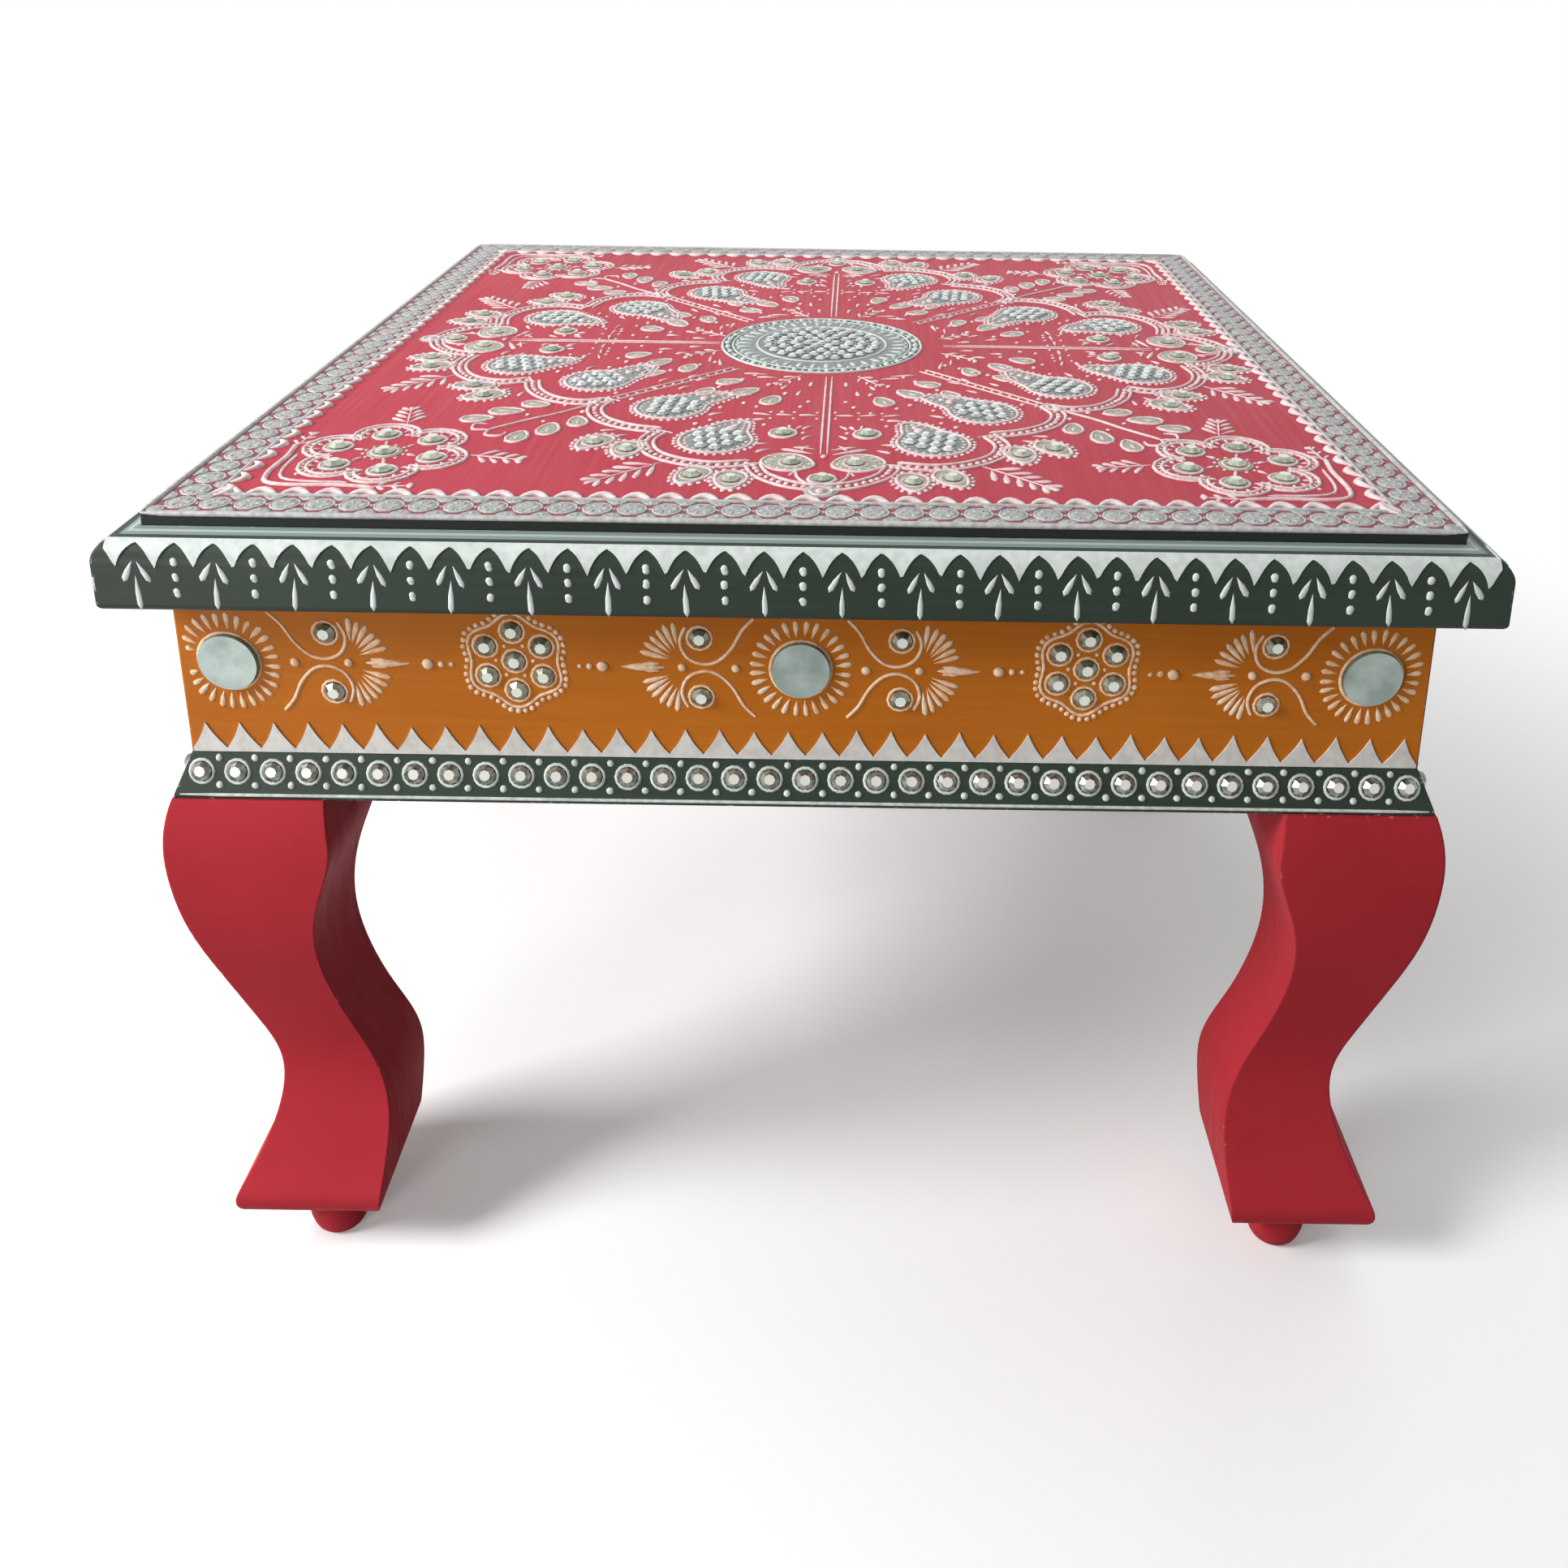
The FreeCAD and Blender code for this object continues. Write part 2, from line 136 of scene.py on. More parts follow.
def stretched(tree, place, scale, turn=0):
    inputs = {"Vector": place, "Scale": scale, "Rotation": (0.0, radians(turn), 0.0)}
    return addNode(tree, "Mapping", inputs).outputs[0]


def bump(tree, height, strength, distance, **more):
    inputs = {"Height": height, "Strength": strength, "Distance": distance * mm, **more}
    return addNode(tree, "Bump", inputs).outputs[0]


def brushedEnamel(name, s):
    # satin enamel laid on by brush over sawn mango wood: broad uneven coats, fine streaks that
    # catch the light, softened arrises, and small chips to the pale primer along them
    material, tree, place = newMaterial(name)
    coat = noise(tree, place, s["coatPatch"], 3.0)
    streak = noise(tree, stretched(tree, place, s["streakRun"]), s["streakWidth"], 4.0)
    color = mixColors(tree, mapRange(tree, coat, 0.32, 0.7), s["color"], s["coatColor"])
    streakShare = mapRange(tree, streak, 0.42, 0.75, 0.0, s["streakShare"])
    color = mixColors(tree, streakShare, color, s["streakColor"])
    out, level = outAndUp(tree, place)
    for band in s.get("bands", []):
        # a painted band: where the chosen measure is past an edge, in mm
        measure = out if band["by"] == "out" else level
        past = mapRange(tree, measure, band["edge"] * mm, (band["edge"] + band["soft"]) * mm)
        if "until" in band:
            past = mapRange(tree, measure, band["until"] * mm, (band["until"] + band["soft"]) * mm, past, 0.0)
        color = mixColors(tree, past, color, band["color"])
    # wear: the rounded normal leaves the true one only along an arris
    rounded = addNode(tree, "Bevel", {"Radius": s["wearWidth"] * mm}, samples=6).outputs[0]
    true = addNode(tree, "NewGeometry").outputs["Normal"]
    sameness = addNode(tree, "VectorMath", {0: rounded, 1: true}, operation="DOT_PRODUCT").outputs["Value"]
    chips = noise(tree, place, s["chipSize"], 5.0, Roughness=0.7)
    worn = calculate(tree, "MULTIPLY", mapRange(tree, sameness, 0.985, 0.86),
                     mapRange(tree, chips, s["chipStart"], s["chipStart"] + 0.04))
    soft = addNode(tree, "Bevel", {"Radius": s["arrisRadius"] * mm}, samples=6).outputs[0]
    brushBump = bump(tree, streak, s["bump"], 0.12, Normal=soft)
    return finished(material, {
        "Base Color": mixColors(tree, worn, color, s["primerColor"]),
        "Roughness": mapRange(tree, streak, 0.3, 0.7, s["roughness"] - 0.07, s["roughness"] + 0.08),
        "Specular IOR Level": s["shine"],
        "Normal": bump(tree, coat, 0.35, 0.8, Normal=brushBump),
    })


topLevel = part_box("top_panel")[1][2] / mm
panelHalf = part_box("top_panel")[1][0] / mm
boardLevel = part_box("edge_moulding_front")[0][2] / mm
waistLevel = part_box("apron_front")[0][2] / mm
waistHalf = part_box("apron_front")[1][0] / mm
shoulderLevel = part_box("base_moulding_front")[0][2] / mm
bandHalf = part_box("base_moulding_front")[1][0] / mm

topEnamel = brushedEnamel("red enamel, brushed, top", {
    "color": "#b53345", "coatColor": "#bd3c4d", "streakColor": "#a72d3c", "primerColor": "#d9b6ae",
    "coatPatch": 60, "streakWidth": 1.2, "streakRun": (1.0, 0.03, 1.0), "streakShare": 0.04,
    "roughness": 0.5, "bump": 0.02, "arrisRadius": 0.35, "wearWidth": 0.7,
    "chipSize": 3.0, "chipStart": 0.6, "shine": 0.15,
    "bands": [
        {"by": "out", "edge": panelHalf - 11.6, "soft": 0.1, "color": "#96505f"},
        {"by": "out", "edge": panelHalf - 0.12, "soft": 0.1, "color": "#262a28"},
    ],
})
legEnamel = brushedEnamel("red enamel, brushed, legs", {
    "color": "#ae2d36", "coatColor": "#a42932", "streakColor": "#b73840", "primerColor": "#d7a9a2",
    "coatPatch": 38, "streakWidth": 2.4, "streakRun": (1.0, 1.0, 0.06), "streakShare": 0.15,
    "roughness": 0.6, "bump": 0.04, "arrisRadius": 0.8, "wearWidth": 1.1,
    "chipSize": 2.6, "chipStart": 0.62, "shine": 0.07,
})
greenEnamelSettings = {
    "color": "#253027", "coatColor": "#2c382e", "streakColor": "#3a473b", "primerColor": "#c9cfc9",
    "coatPatch": 45, "streakWidth": 1.3, "streakRun": (0.04, 0.04, 1.0), "streakShare": 0.25,
    "roughness": 0.46, "bump": 0.12, "arrisRadius": 0.4, "wearWidth": 0.7,
    "chipSize": 2.5, "chipStart": 0.59, "shine": 0.2,
}
greenEnamel = brushedEnamel("bottle green enamel, brushed", greenEnamelSettings)
edgeEnamel = brushedEnamel("bottle green enamel with grey ledge", dict(greenEnamelSettings, bands=[
    {"by": "up", "edge": boardLevel + 15.15, "soft": 0.1, "color": "#8a9a94"},
    {"by": "out", "edge": panelHalf + 1.4, "until": panelHalf + 2.1, "soft": 0.2, "color": "#bcc6c1"},
    {"by": "out", "edge": panelHalf + 3.3, "until": panelHalf + 4.75, "soft": 0.1, "color": "#3a463f"},
]))
orangeEnamel = brushedEnamel("ochre orange enamel, brushed", dict(
    greenEnamelSettings, color="#bc6b1a", coatColor="#b36217", streakColor="#c57926", primerColor="#d8b890",
    coatPatch=50, streakWidth=1.4, streakShare=0.35, chipSize=3.0, chipStart=0.6, shine=0.13,
))


def conePaste(name, s):
    # chalk and glue paste squeezed from a cone, then painted: matt, slightly lumpy, with thin
    # places where the ground shows through
    material, tree, place = newMaterial(name)
    lumps = noise(tree, place, s["lumpSize"], 3.0)
    stain = mapRange(tree, noise(tree, place, s["stainSize"], 2.0), 0.5, 0.72, 0.0, s["stainShare"])
    color = mixColors(tree, mapRange(tree, lumps, 0.4, 0.68), s["color"], s["thinColor"])
    return finished(material, {
        "Base Color": mixColors(tree, stain, color, s["stainColor"]), "Roughness": s["roughness"],
        "Specular IOR Level": 0.3, "Normal": bump(tree, lumps, 0.3, 0.15),
    })


pasteLook = {"lumpSize": 1.6, "stainSize": 9, "stainShare": 0.35, "roughness": 0.55}
groundLook = {"lumpSize": 1.0, "stainSize": 7, "stainShare": 0.4, "roughness": 0.4}
whitePaste = conePaste("cone paste, pinkish white", dict(
    pasteLook, color="#ebdedb", thinColor="#dfbabe", stainColor="#d79aa3"))
scallopPaste = conePaste("cone paste, white", dict(
    pasteLook, color="#efe6e4", thinColor="#e3cdcf", stainColor="#dcaab2", lumpSize=1.8, stainSize=10))
silverPaste = conePaste("cone paste, silver white", dict(
    pasteLook, color="#c9c9c6", thinColor="#aaaaa6", stainColor="#ad9598",
    lumpSize=1.4, stainSize=12, stainShare=0.5, roughness=0.45))
peachPaste = conePaste("cone paste, peach", dict(
    pasteLook, color="#efcfae", thinColor="#dba677", stainColor="#e8e0d4", stainSize=10, stainShare=0.5))
tracePaste = conePaste("cone paste, thin white coat", dict(
    pasteLook, color="#d9dfda", thinColor="#c6cfc9", stainColor="#b4c0b9",
    lumpSize=2.2, stainSize=14, roughness=0.5))
bandPaste = conePaste("cone paste, grey", dict(
    pasteLook, color="#d2d8d2", thinColor="#b3bbb4", stainColor="#979f98", stainShare=0.4, roughness=0.5))
waistPaste = conePaste("cone paste, thin grey coat", dict(
    pasteLook, color="#d9d6d1", thinColor="#cac6bf", stainColor="#b9afa4",
    lumpSize=2.2, stainSize=12, stainShare=0.3, roughness=0.5))
grounds = {
    "dark": conePaste("silvered ground coat, dark", dict(
        groundLook, color="#47555a", thinColor="#37434a", stainColor="#6b5a62", stainShare=0.3)),
    "silver": conePaste("silvered ground coat", dict(
        groundLook, color="#b4bab7", thinColor="#8c9190", stainColor="#a39599")),
    "grey": conePaste("silvered ground coat, grey", dict(
        groundLook, color="#8b9592", thinColor="#6f7976", stainColor="#8f7f84", stainSize=6)),
    "leaf": conePaste("silvered ground coat, greenish", dict(
        groundLook, color="#adb19c", thinColor="#8d917d", stainColor="#b9a9a2", lumpSize=1.2, stainSize=8)),
}


def cutStone(name, s):
    # foil-backed cut glass, its glint and facet shade painted into the colour: a painted highlight on the
    # flat table, and crown facets painted darker towards the girdle; seat is the way its seat faces, out and
    # up, so the table is told from the crown
    material, tree, place = newMaterial(name)
    out, level = outAndUp(tree, addNode(tree, "NewGeometry").outputs["True Normal"])
    seatOut, seatUp = s["seat"]
    facing = calculate(tree, "MULTIPLY_ADD", level, seatUp, calculate(tree, "MULTIPLY", out, seatOut))
    foil = mapRange(tree, noise(tree, place, s["foilSpot"], 2.0), 0.42, 0.6)
    crownColor = mixColors(tree, foil, s["crownColor"], s["foilColor"])
    # painted shade and painted highlight: crown facets are painted darker towards the girdle as they turn
    # from the seat, and the table that faces the seat is painted a bright glint colour
    color = mixColors(tree, mapRange(tree, facing, 0.2, 0.7), s["girdleShadeColor"], crownColor)
    return finished(material, {
        "Base Color": mixColors(tree, mapRange(tree, facing, 0.9, 0.95), color, s["tableGlintColor"]),
        "Metallic": s["metallic"], "Roughness": s["roughness"], "Coat Weight": 1.0, "Coat Roughness": 0.03,
    })


topGlass = cutStone("cut glass on foil, top", {
    "tableGlintColor": "#dfe3d0", "crownColor": "#bcc2ac", "foilColor": "#8f9682", "girdleShadeColor": "#6a7060",
    "foilSpot": 2.6, "metallic": 0.35, "roughness": 0.22, "seat": (0, 1),
})
bandGlass = cutStone("cut glass on foil, base moulding", {
    "tableGlintColor": "#d6d5cb", "crownColor": "#8f9187", "foilColor": "#4f524a", "girdleShadeColor": "#2e332e",
    "foilSpot": 2.2, "metallic": 0.5, "roughness": 0.2, "seat": (0.896, 0.443),
})
apronGlass = cutStone("cut glass on foil, aprons", {
    "tableGlintColor": "#dfe3d6", "crownColor": "#8d8f7a", "foilColor": "#5c5e4a", "girdleShadeColor": "#4b4636",
    "foilSpot": 2.2, "metallic": 0.4, "roughness": 0.2, "seat": (0.997, 0.083),
})
chipGlass = cutStone("mirror chips on foil", {
    "tableGlintColor": "#eef1ee", "crownColor": "#dbe0dd", "foilColor": "#aeb5b2", "girdleShadeColor": "#6d7471",
    "foilSpot": 2.4, "metallic": 0.3, "roughness": 0.25, "seat": (0, 1),
})


def silveredMirror(name, s):
    # thin hand-cut mirror glass: cloudy silvering with fine scratches
    material, tree, place = newMaterial(name)
    cloud = mapRange(tree, noise(tree, place, s["cloudSize"], 3.0), 0.38, 0.68)
    scratch = noise(tree, stretched(tree, place, (1.0, 1.0, 9.0), 35), s["scratchWidth"], 2.0)
    return finished(material, {
        "Base Color": mixColors(tree, cloud, s["color"], s["cloudColor"]),
        "Roughness": mapRange(tree, scratch, 0.4, 0.7, s["roughness"], 0.5),
        "Metallic": s["metallic"], "Coat Weight": 0.6, "Coat Roughness": 0.05,
    })


mirrorGlass = silveredMirror("mirror glass, hand cut", {
    "color": "#a0aca6", "cloudColor": "#7c8a83", "cloudSize": 8, "scratchWidth": 1.2,
    "metallic": 0.7, "roughness": 0.28,
})


def bareWood(name, s):
    # unpainted mango wood inside: pale sapwood with brown grain lines
    material, tree, place = newMaterial(name)
    grain = noise(tree, stretched(tree, place, (0.12, 1.0, 1.0)), s["grainWidth"], 5.0, Distortion=0.6)
    color = mixColors(tree, mapRange(tree, grain, 0.38, 0.66), s["color"], s["grainColor"])
    return finished(material, {"Base Color": color, "Roughness": 0.7, "Normal": bump(tree, grain, 0.4, 0.2)})


mangoWood = bareWood("mango wood, bare", {"color": "#b08c62", "grainColor": "#7c5836", "grainWidth": 4.0})


def zincSteel(name, s):
    # zinc-plated steel: grey, a little spangled
    material, tree, place = newMaterial(name)
    spangle = addNode(tree, "TexVoronoi", {"Vector": place, "Scale": 1 / (s["spangle"] * mm)})
    color = mixColors(tree, spangle.outputs["Distance"], s["color"], s["spangleColor"])
    return finished(material, {"Base Color": color, "Metallic": 1.0, "Roughness": 0.38})


steel = zincSteel("steel, zinc plated", {"color": "#a8a9a6", "spangleColor": "#7d7f7c", "spangle": 1.5})

# by the start of a node's name; the longest start counts
finishes = {
    "top_panel": topEnamel, "core_board": mangoWood, "glue_block": mangoWood, "apron": orangeEnamel,
    "edge_moulding": edgeEnamel, "base_moulding": greenEnamel, "leg": legEnamel, "foot_knob": legEnamel,
    "leg_screws": steel, "block_screws": steel, "edging_pins": steel, "moulding_pins": steel,
    "mirrors": mirrorGlass, "apron_stones": apronGlass, "band_stones": bandGlass,
    "corner_flower_stones": topGlass, "leaf_stones": topGlass, "bud_stones": topGlass,
    "paisley_chips": chipGlass, "medallion_chips": chipGlass,
}


def dressNodes():
    for name, node in nodes.items():
        start = max((key for key in finishes if name.startswith(key)), key=len)
        node.data.materials.clear()
        node.data.materials.append(finishes[start])


dressNodes()
print("CAD nodes dressed")


# paste ornament: a design is lists of strokes, drops, dots and fills on a flat sheet, in mm

def newDesign():
    return {"strokes": [], "drops": [], "dots": [], "fills": []}


def polar(u, v, reach, angle):
    return u + reach * cos(angle), v + reach * sin(angle)


def smoothPath(points, closed=False, step=1.5):
    # an even curve through the points
    count = len(points)
    path = []
    for span in range(count if closed else count - 1):
        near = [span + shift for shift in (-1, 0, 1, 2)]
        a, b, c, d = [points[k % count if closed else min(max(k, 0), count - 1)] for k in near]
        pieces = max(1, round(hypot(c[0] - b[0], c[1] - b[1]) / step))
        for piece in range(pieces):
            t = piece / pieces
            path.append(tuple(
                0.5 * (2 * b[i] + (c[i] - a[i]) * t + (2 * a[i] - 5 * b[i] + 4 * c[i] - d[i]) * t * t
                       + (3 * b[i] - a[i] - 3 * c[i] + d[i]) * t ** 3) for i in (0, 1)))
    if not closed:
        path.append(points[-1])
    return path


def offsetPath(path, distance, closed=False):
    # the path moved sideways, to its left where distance is positive
    aside = []
    last = len(path) - 1
    for number, (u, v) in enumerate(path):
        before = path[number - 1] if number or closed else path[0]
        after = path[(number + 1) % len(path)] if number < last or closed else path[last]
        run = hypot(after[0] - before[0], after[1] - before[1]) or 1
        aside.append((u - (after[1] - before[1]) / run * distance,
                      v + (after[0] - before[0]) / run * distance))
    return aside


def evenPlaces(path, pitch, closed=False):
    # places at an even pitch along the path
    points = path + path[:1] if closed else path
    runs = [hypot(b[0] - a[0], b[1] - a[1]) for a, b in zip(points, points[1:])]
    total = sum(runs)
    count = max(1, round(total / pitch))
    marks = [total * (number + 0.5) / count for number in range(count)]
    places = []
    walked = 0
    for a, b, run in zip(points, points[1:], runs):
        while marks and marks[0] <= walked + run:
            share = (marks.pop(0) - walked) / run
            places.append((a[0] + (b[0] - a[0]) * share, a[1] + (b[1] - a[1]) * share))
        walked += run
    return places


def stroke(design, path, half, closed=False, ends=0.45):
    # a squeezed line: half is half its width, ends the share of it at the two ends
    last = len(path) - 1
    widths = [half * (ends if not closed and number in (0, last) else 1) for number in range(len(path))]
    design["strokes"].append(([(u, v, w) for (u, v), w in zip(path, widths)], closed))


def drop(design, u, v, angle, length, width):
    # a teardrop from its tip at u, v to its round end
    design["drops"].append((u, v, angle, length, width))


def dot(design, u, v, radius):
    design["dots"].append((u, v, radius))


def fill(design, outline, middle, tone, height):
    # a thin coat inside an outline that its middle can see; tone names its colour
    design["fills"].append((outline, middle, tone, height))


def turns(count, shift=0):
    # even angles round a circle, begun a share of a step on
    return [2 * pi * (number + shift) / count for number in range(count)]


def circlePath(u, v, radius, count=12):
    return [polar(u, v, radius, angle) for angle in turns(count)]


def disc(design, u, v, radius, tone, height=0.2, count=12):
    fill(design, circlePath(u, v, radius, count), (u, v), tone, height)


def ring(design, u, v, radius, half, count=12):
    stroke(design, circlePath(u, v, radius, count), half, closed=True)


def beads(design, path, pitch, radius):
    for u, v in evenPlaces(path, pitch):
        dot(design, u, v, radius)


def beadRound(design, outline, out, pitch, radius):
    # beads all round a closed outline, at a distance from it
    for u, v in evenPlaces(offsetPath(outline, out, closed=True), pitch, closed=True):
        dot(design, u, v, radius)


def moved(design, place, heading):
    # a copy with its points put through place and its headings through heading
    return {
        "strokes": [([(*place(u, v), w) for u, v, w in path], closed) for path, closed in design["strokes"]],
        "drops": [(*place(u, v), heading(angle), *sizes) for u, v, angle, *sizes in design["drops"]],
        "dots": [(*place(u, v), radius) for u, v, radius in design["dots"]],
        "fills": [([place(u, v) for u, v in outline], place(*middle), *rest)
                  for outline, middle, *rest in design["fills"]],
    }


def spun(design, angle, mirror=False):
    # mirrored across the v axis if asked, then turned about the middle
    side = -1 if mirror else 1
    c, d = cos(angle), sin(angle)
    return moved(design, lambda u, v: (side * u * c - v * d, side * u * d + v * c),
                 lambda heading: (pi - heading if mirror else heading) + angle)


def shifted(design, du, dv, mirror=False):
    return moved(spun(design, 0, mirror), lambda u, v: (u + du, v + dv), lambda heading: heading)


def groundOnly(design, tone):
    return dict(newDesign(), fills=[filled for filled in design["fills"] if filled[2] == tone])


def pasteOnly(design):
    return dict(design, fills=[])


def joined(*designs):
    return {kind: sum((design[kind] for design in designs), []) for kind in newDesign()}


def fourfold(design):
    return joined(*[spun(design, quarter * pi / 2) for quarter in range(4)])


def eightfold(design):
    return joined(fourfold(design), fourfold(spun(design, 0, True)))


def fern(design, u, v, angle, length, leaves, leafLength, leafWidth):
    # a stem with paired drops that shorten to the tip
    stroke(design, [polar(u, v, length * share, angle) for share in (0, 0.5, 0.86)], 0.35)
    for number in range(leaves):
        share = 0.12 + 0.68 * number / (leaves - 1)
        size = leafLength * (1 - 0.5 * share)
        for way in (-1, 1):
            heading = angle + way * radians(48 - 12 * share)
            drop(design, *polar(u, v, length * share, angle), heading, size, leafWidth)
    drop(design, *polar(u, v, length * 0.78, angle), angle, length * 0.24, leafWidth)


# surfaces that carry the paste: sheet place u, v and height h in mm to a point

def topSheet(u, v, h):
    return u, v, topLevel + h


def leaningSheet(baseOut, baseLevel, upperOut, upperLevel):
    rise = upperLevel - baseLevel
    lean = baseOut - upperOut
    slope = hypot(rise, lean)

    def sheet(u, v, h):
        return (u, -(baseOut - lean * v / slope + h * rise / slope),
                baseLevel + rise * v / slope + h * lean / slope)
    return sheet


apronLean = 3.3
bandLip = 1.0
apronSheet = leaningSheet(waistHalf, waistLevel, waistHalf - apronLean, boardLevel)
bandSheet = leaningSheet(bandHalf, shoulderLevel + bandLip, waistHalf, waistLevel)

# the nose: an upper round, then a face that leans out a little
noseSettings = {
    "out": 143.013, "level": 10.116, "radius": 5.294, "start": radians(70.3), "roundLength": 6.21,
    "brow": (148.3, 10.4), "lip": (149.1, 1.6),
}


def noseSheet(u, v, h):
    # v runs down from the quirk as a minus distance over the nose
    s = noseSettings
    down = -v
    if down <= s["roundLength"]:
        angle = s["start"] - down / s["radius"]
        reach = s["radius"] + h
        return u, -(s["out"] + reach * cos(angle)), boardLevel + s["level"] + reach * sin(angle)
    (browOut, browLevel), (lipOut, lipLevel) = s["brow"], s["lip"]
    run = hypot(lipOut - browOut, browLevel - lipLevel)
    share = (down - s["roundLength"]) / run
    out = browOut + (lipOut - browOut) * share + h * (browLevel - lipLevel) / run
    return u, -out, boardLevel + browLevel - (browLevel - lipLevel) * share + h * (lipOut - browOut) / run


def deselect():
    bpy.ops.object.select_all(action="DESELECT")


def makeStamp(name, tipShare):
    # a low dome with a flat base, its left end drawn out to a tip for a drop
    deselect()
    bpy.ops.mesh.primitive_uv_sphere_add(segments=8, ring_count=6, radius=1)
    stamp = bpy.context.object
    stamp.name = name
    bpy.ops.object.mode_set(mode="EDIT")
    bpy.ops.mesh.select_all(action="SELECT")
    bpy.ops.mesh.bisect(plane_co=(0, 0, 0), plane_no=(0, 0, 1), clear_inner=True, use_fill=True)
    bpy.ops.object.mode_set(mode="OBJECT")
    corners = []
    for vertex in stamp.data.vertices:
        x, y, z = vertex.co
        along = (x + 1) / 2
        taper = 1 - tipShare + tipShare * along ** 0.8
        corners.append((x, y * taper, z * (1 - tipShare + tipShare * (0.35 + 0.65 * along))))
    faces = [tuple(face.vertices) for face in stamp.data.polygons]
    bpy.data.objects.remove(stamp, do_unlink=True)
    return corners, faces


dotStamp = makeStamp("dot stamp", 0)
dropStamp = makeStamp("drop stamp", 1)


def pipedLines(strokes):
    # curves with a round bevel, made a mesh
    curve = bpy.data.curves.new("piped line", "CURVE")
    curve.dimensions = "3D"
    curve.bevel_depth = mm
    curve.bevel_resolution = 1
    curve.use_fill_caps = True
    for path, closed in strokes:
        spline = curve.splines.new("POLY")
        spline.points.add(len(path) - 1)
        spline.use_cyclic_u = closed
        for point, (u, v, half) in zip(spline.points, path):
            point.co = (u * mm, v * mm, 0, 1)
            point.radius = half
    holder = bpy.data.objects.new("piped line", curve)
    bpy.context.scene.collection.objects.link(holder)
    deselect()
    holder.select_set(True)
    bpy.context.view_layer.objects.active = holder
    bpy.ops.object.convert(target="MESH")
    mesh = bpy.context.object.data
    corners = [tuple(vertex.co / mm) for vertex in mesh.vertices]
    faces = [tuple(face.vertices) for face in mesh.polygons]
    bpy.data.objects.remove(bpy.context.object, do_unlink=True)
    return corners, faces


bedDepth = 0.04              # every mark's underside lies this far under the surface, in mm


def filledShape(outline, middle, height, sheet):
    # the outline at the bed, two smaller outlines at the height, and the middle; closed beneath
    count = len(outline)
    around = sum(a[0] * b[1] - b[0] * a[1] for a, b in zip(outline, outline[1:] + outline[:1]))
    outline = outline if around > 0 else outline[::-1]
    corners = []
    for share, level in ((1, -bedDepth), (0.93, height), (0.5, height)):
        corners += [sheet(middle[0] + (u - middle[0]) * share, middle[1] + (v - middle[1]) * share, level)
                    for u, v in outline]
    corners.append(sheet(*middle, height))
    faces = [tuple(reversed(range(count)))]
    for first in range(0, 2 * count, count):
        faces += [(first + k, first + (k + 1) % count, first + count + (k + 1) % count, first + count + k)
                  for k in range(count)]
    faces += [(2 * count + k, 2 * count + (k + 1) % count, 3 * count) for k in range(count)]
    return corners, faces


# the hand's unevenness: turn in radians, shift in mm, the others as shares
handSettings = {
    "turn": (-0.07, 0.07), "length": (0.93, 1.07), "width": (0.92, 1.1), "shift": (-0.1, 0.1),
    "height": (0.85, 1.15), "dotLength": (0.93, 1.1), "dotWidth": (0.93, 1.08), "dotTurn": (0, pi),
}


def layPaste(name, design, sheet, material, s, turn=0, seed=1):
    # the whole design as one mesh on its surface, every mark a little uneven as by hand
    rng = random.Random(seed)
    corners = []
    faces = []

    def uneven(measure):
        return rng.uniform(*handSettings[measure])

    def add(newCorners, newFaces):
        start = len(corners)
        corners.extend(newCorners)
        faces.extend(tuple(start + index for index in face) for face in newFaces)

    if design["strokes"]:
        lineCorners, lineFaces = pipedLines(design["strokes"])
        add([sheet(x, y, z * s["lineHeight"]) for x, y, z in lineCorners], lineFaces)
    for outline, middle, _, height in design["fills"]:
        add(*filledShape(outline, middle, height, sheet))
    marks = [(dropStamp, *polar(u, v, length / 2, angle), angle + uneven("turn"),
              length / 2 * uneven("length"), width / 2 * uneven("width"), s["dropHeight"])
             for u, v, angle, length, width in design["drops"]]
    marks += [(dotStamp, u, v, uneven("dotTurn"), radius * uneven("dotLength"), radius * uneven("dotWidth"),
               radius * s["dotShare"]) for u, v, radius in design["dots"]]
    for (stampCorners, stampFaces), u, v, angle, long, wide, height in marks:
        u += uneven("shift")
        v += uneven("shift")
        height *= uneven("height")
        c, d = cos(angle), sin(angle)
        add([sheet(u + x * long * c - y * wide * d, v + x * long * d + y * wide * c, z * height - bedDepth)
             for x, y, z in stampCorners], stampFaces)
    mesh = bpy.data.meshes.new(name)
    turned = Matrix.Rotation(radians(turn), 4, "Z")
    mesh.from_pydata([turned @ (Vector(corner) * mm) for corner in corners], [], faces)
    mesh.polygons.foreach_set("use_smooth", [len(face) < 5 for face in faces])      # undersides stay flat
    mesh.materials.append(material)
    mesh.update()
    piece = bpy.data.objects.new(name, mesh)
    bpy.context.scene.collection.objects.link(piece)
    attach(piece, "root")
    print(name, len(mesh.polygons), "faces")


# the top's ornament

pasteSettings = {"lineHeight": 0.85, "dropHeight": 0.55, "dotShare": 0.6}
medalReliefSettings = dict(pasteSettings, lineHeight=1.0, dropHeight=0.75, dotShare=0.7)

borderSettings = {
    "innerEdge": 128.8, "outerEdge": 139.75, "middle": 133.9, "count": 36, "roundel": 3.1, "line": 0.6,
    "roundelLine": 0.34, "petalStart": 0.5, "petal": (2.1, 1.15), "coat": 0.18, "betweenDot": 0.5,
    "moonHalf": 2.5, "moonOut": 4.7, "moonRise": 2.1, "moonMiddle": 3.9, "moonDotOut": 3.6, "moonDot": 0.65,
    "moonLine": 0.3, "cornerDisc": 1.7, "cornerStep": 3.7,
    "scallop": 3.3, "scallopRise": 2.7, "scallopHalf": 1.1, "scallopEnds": 0.35,
}


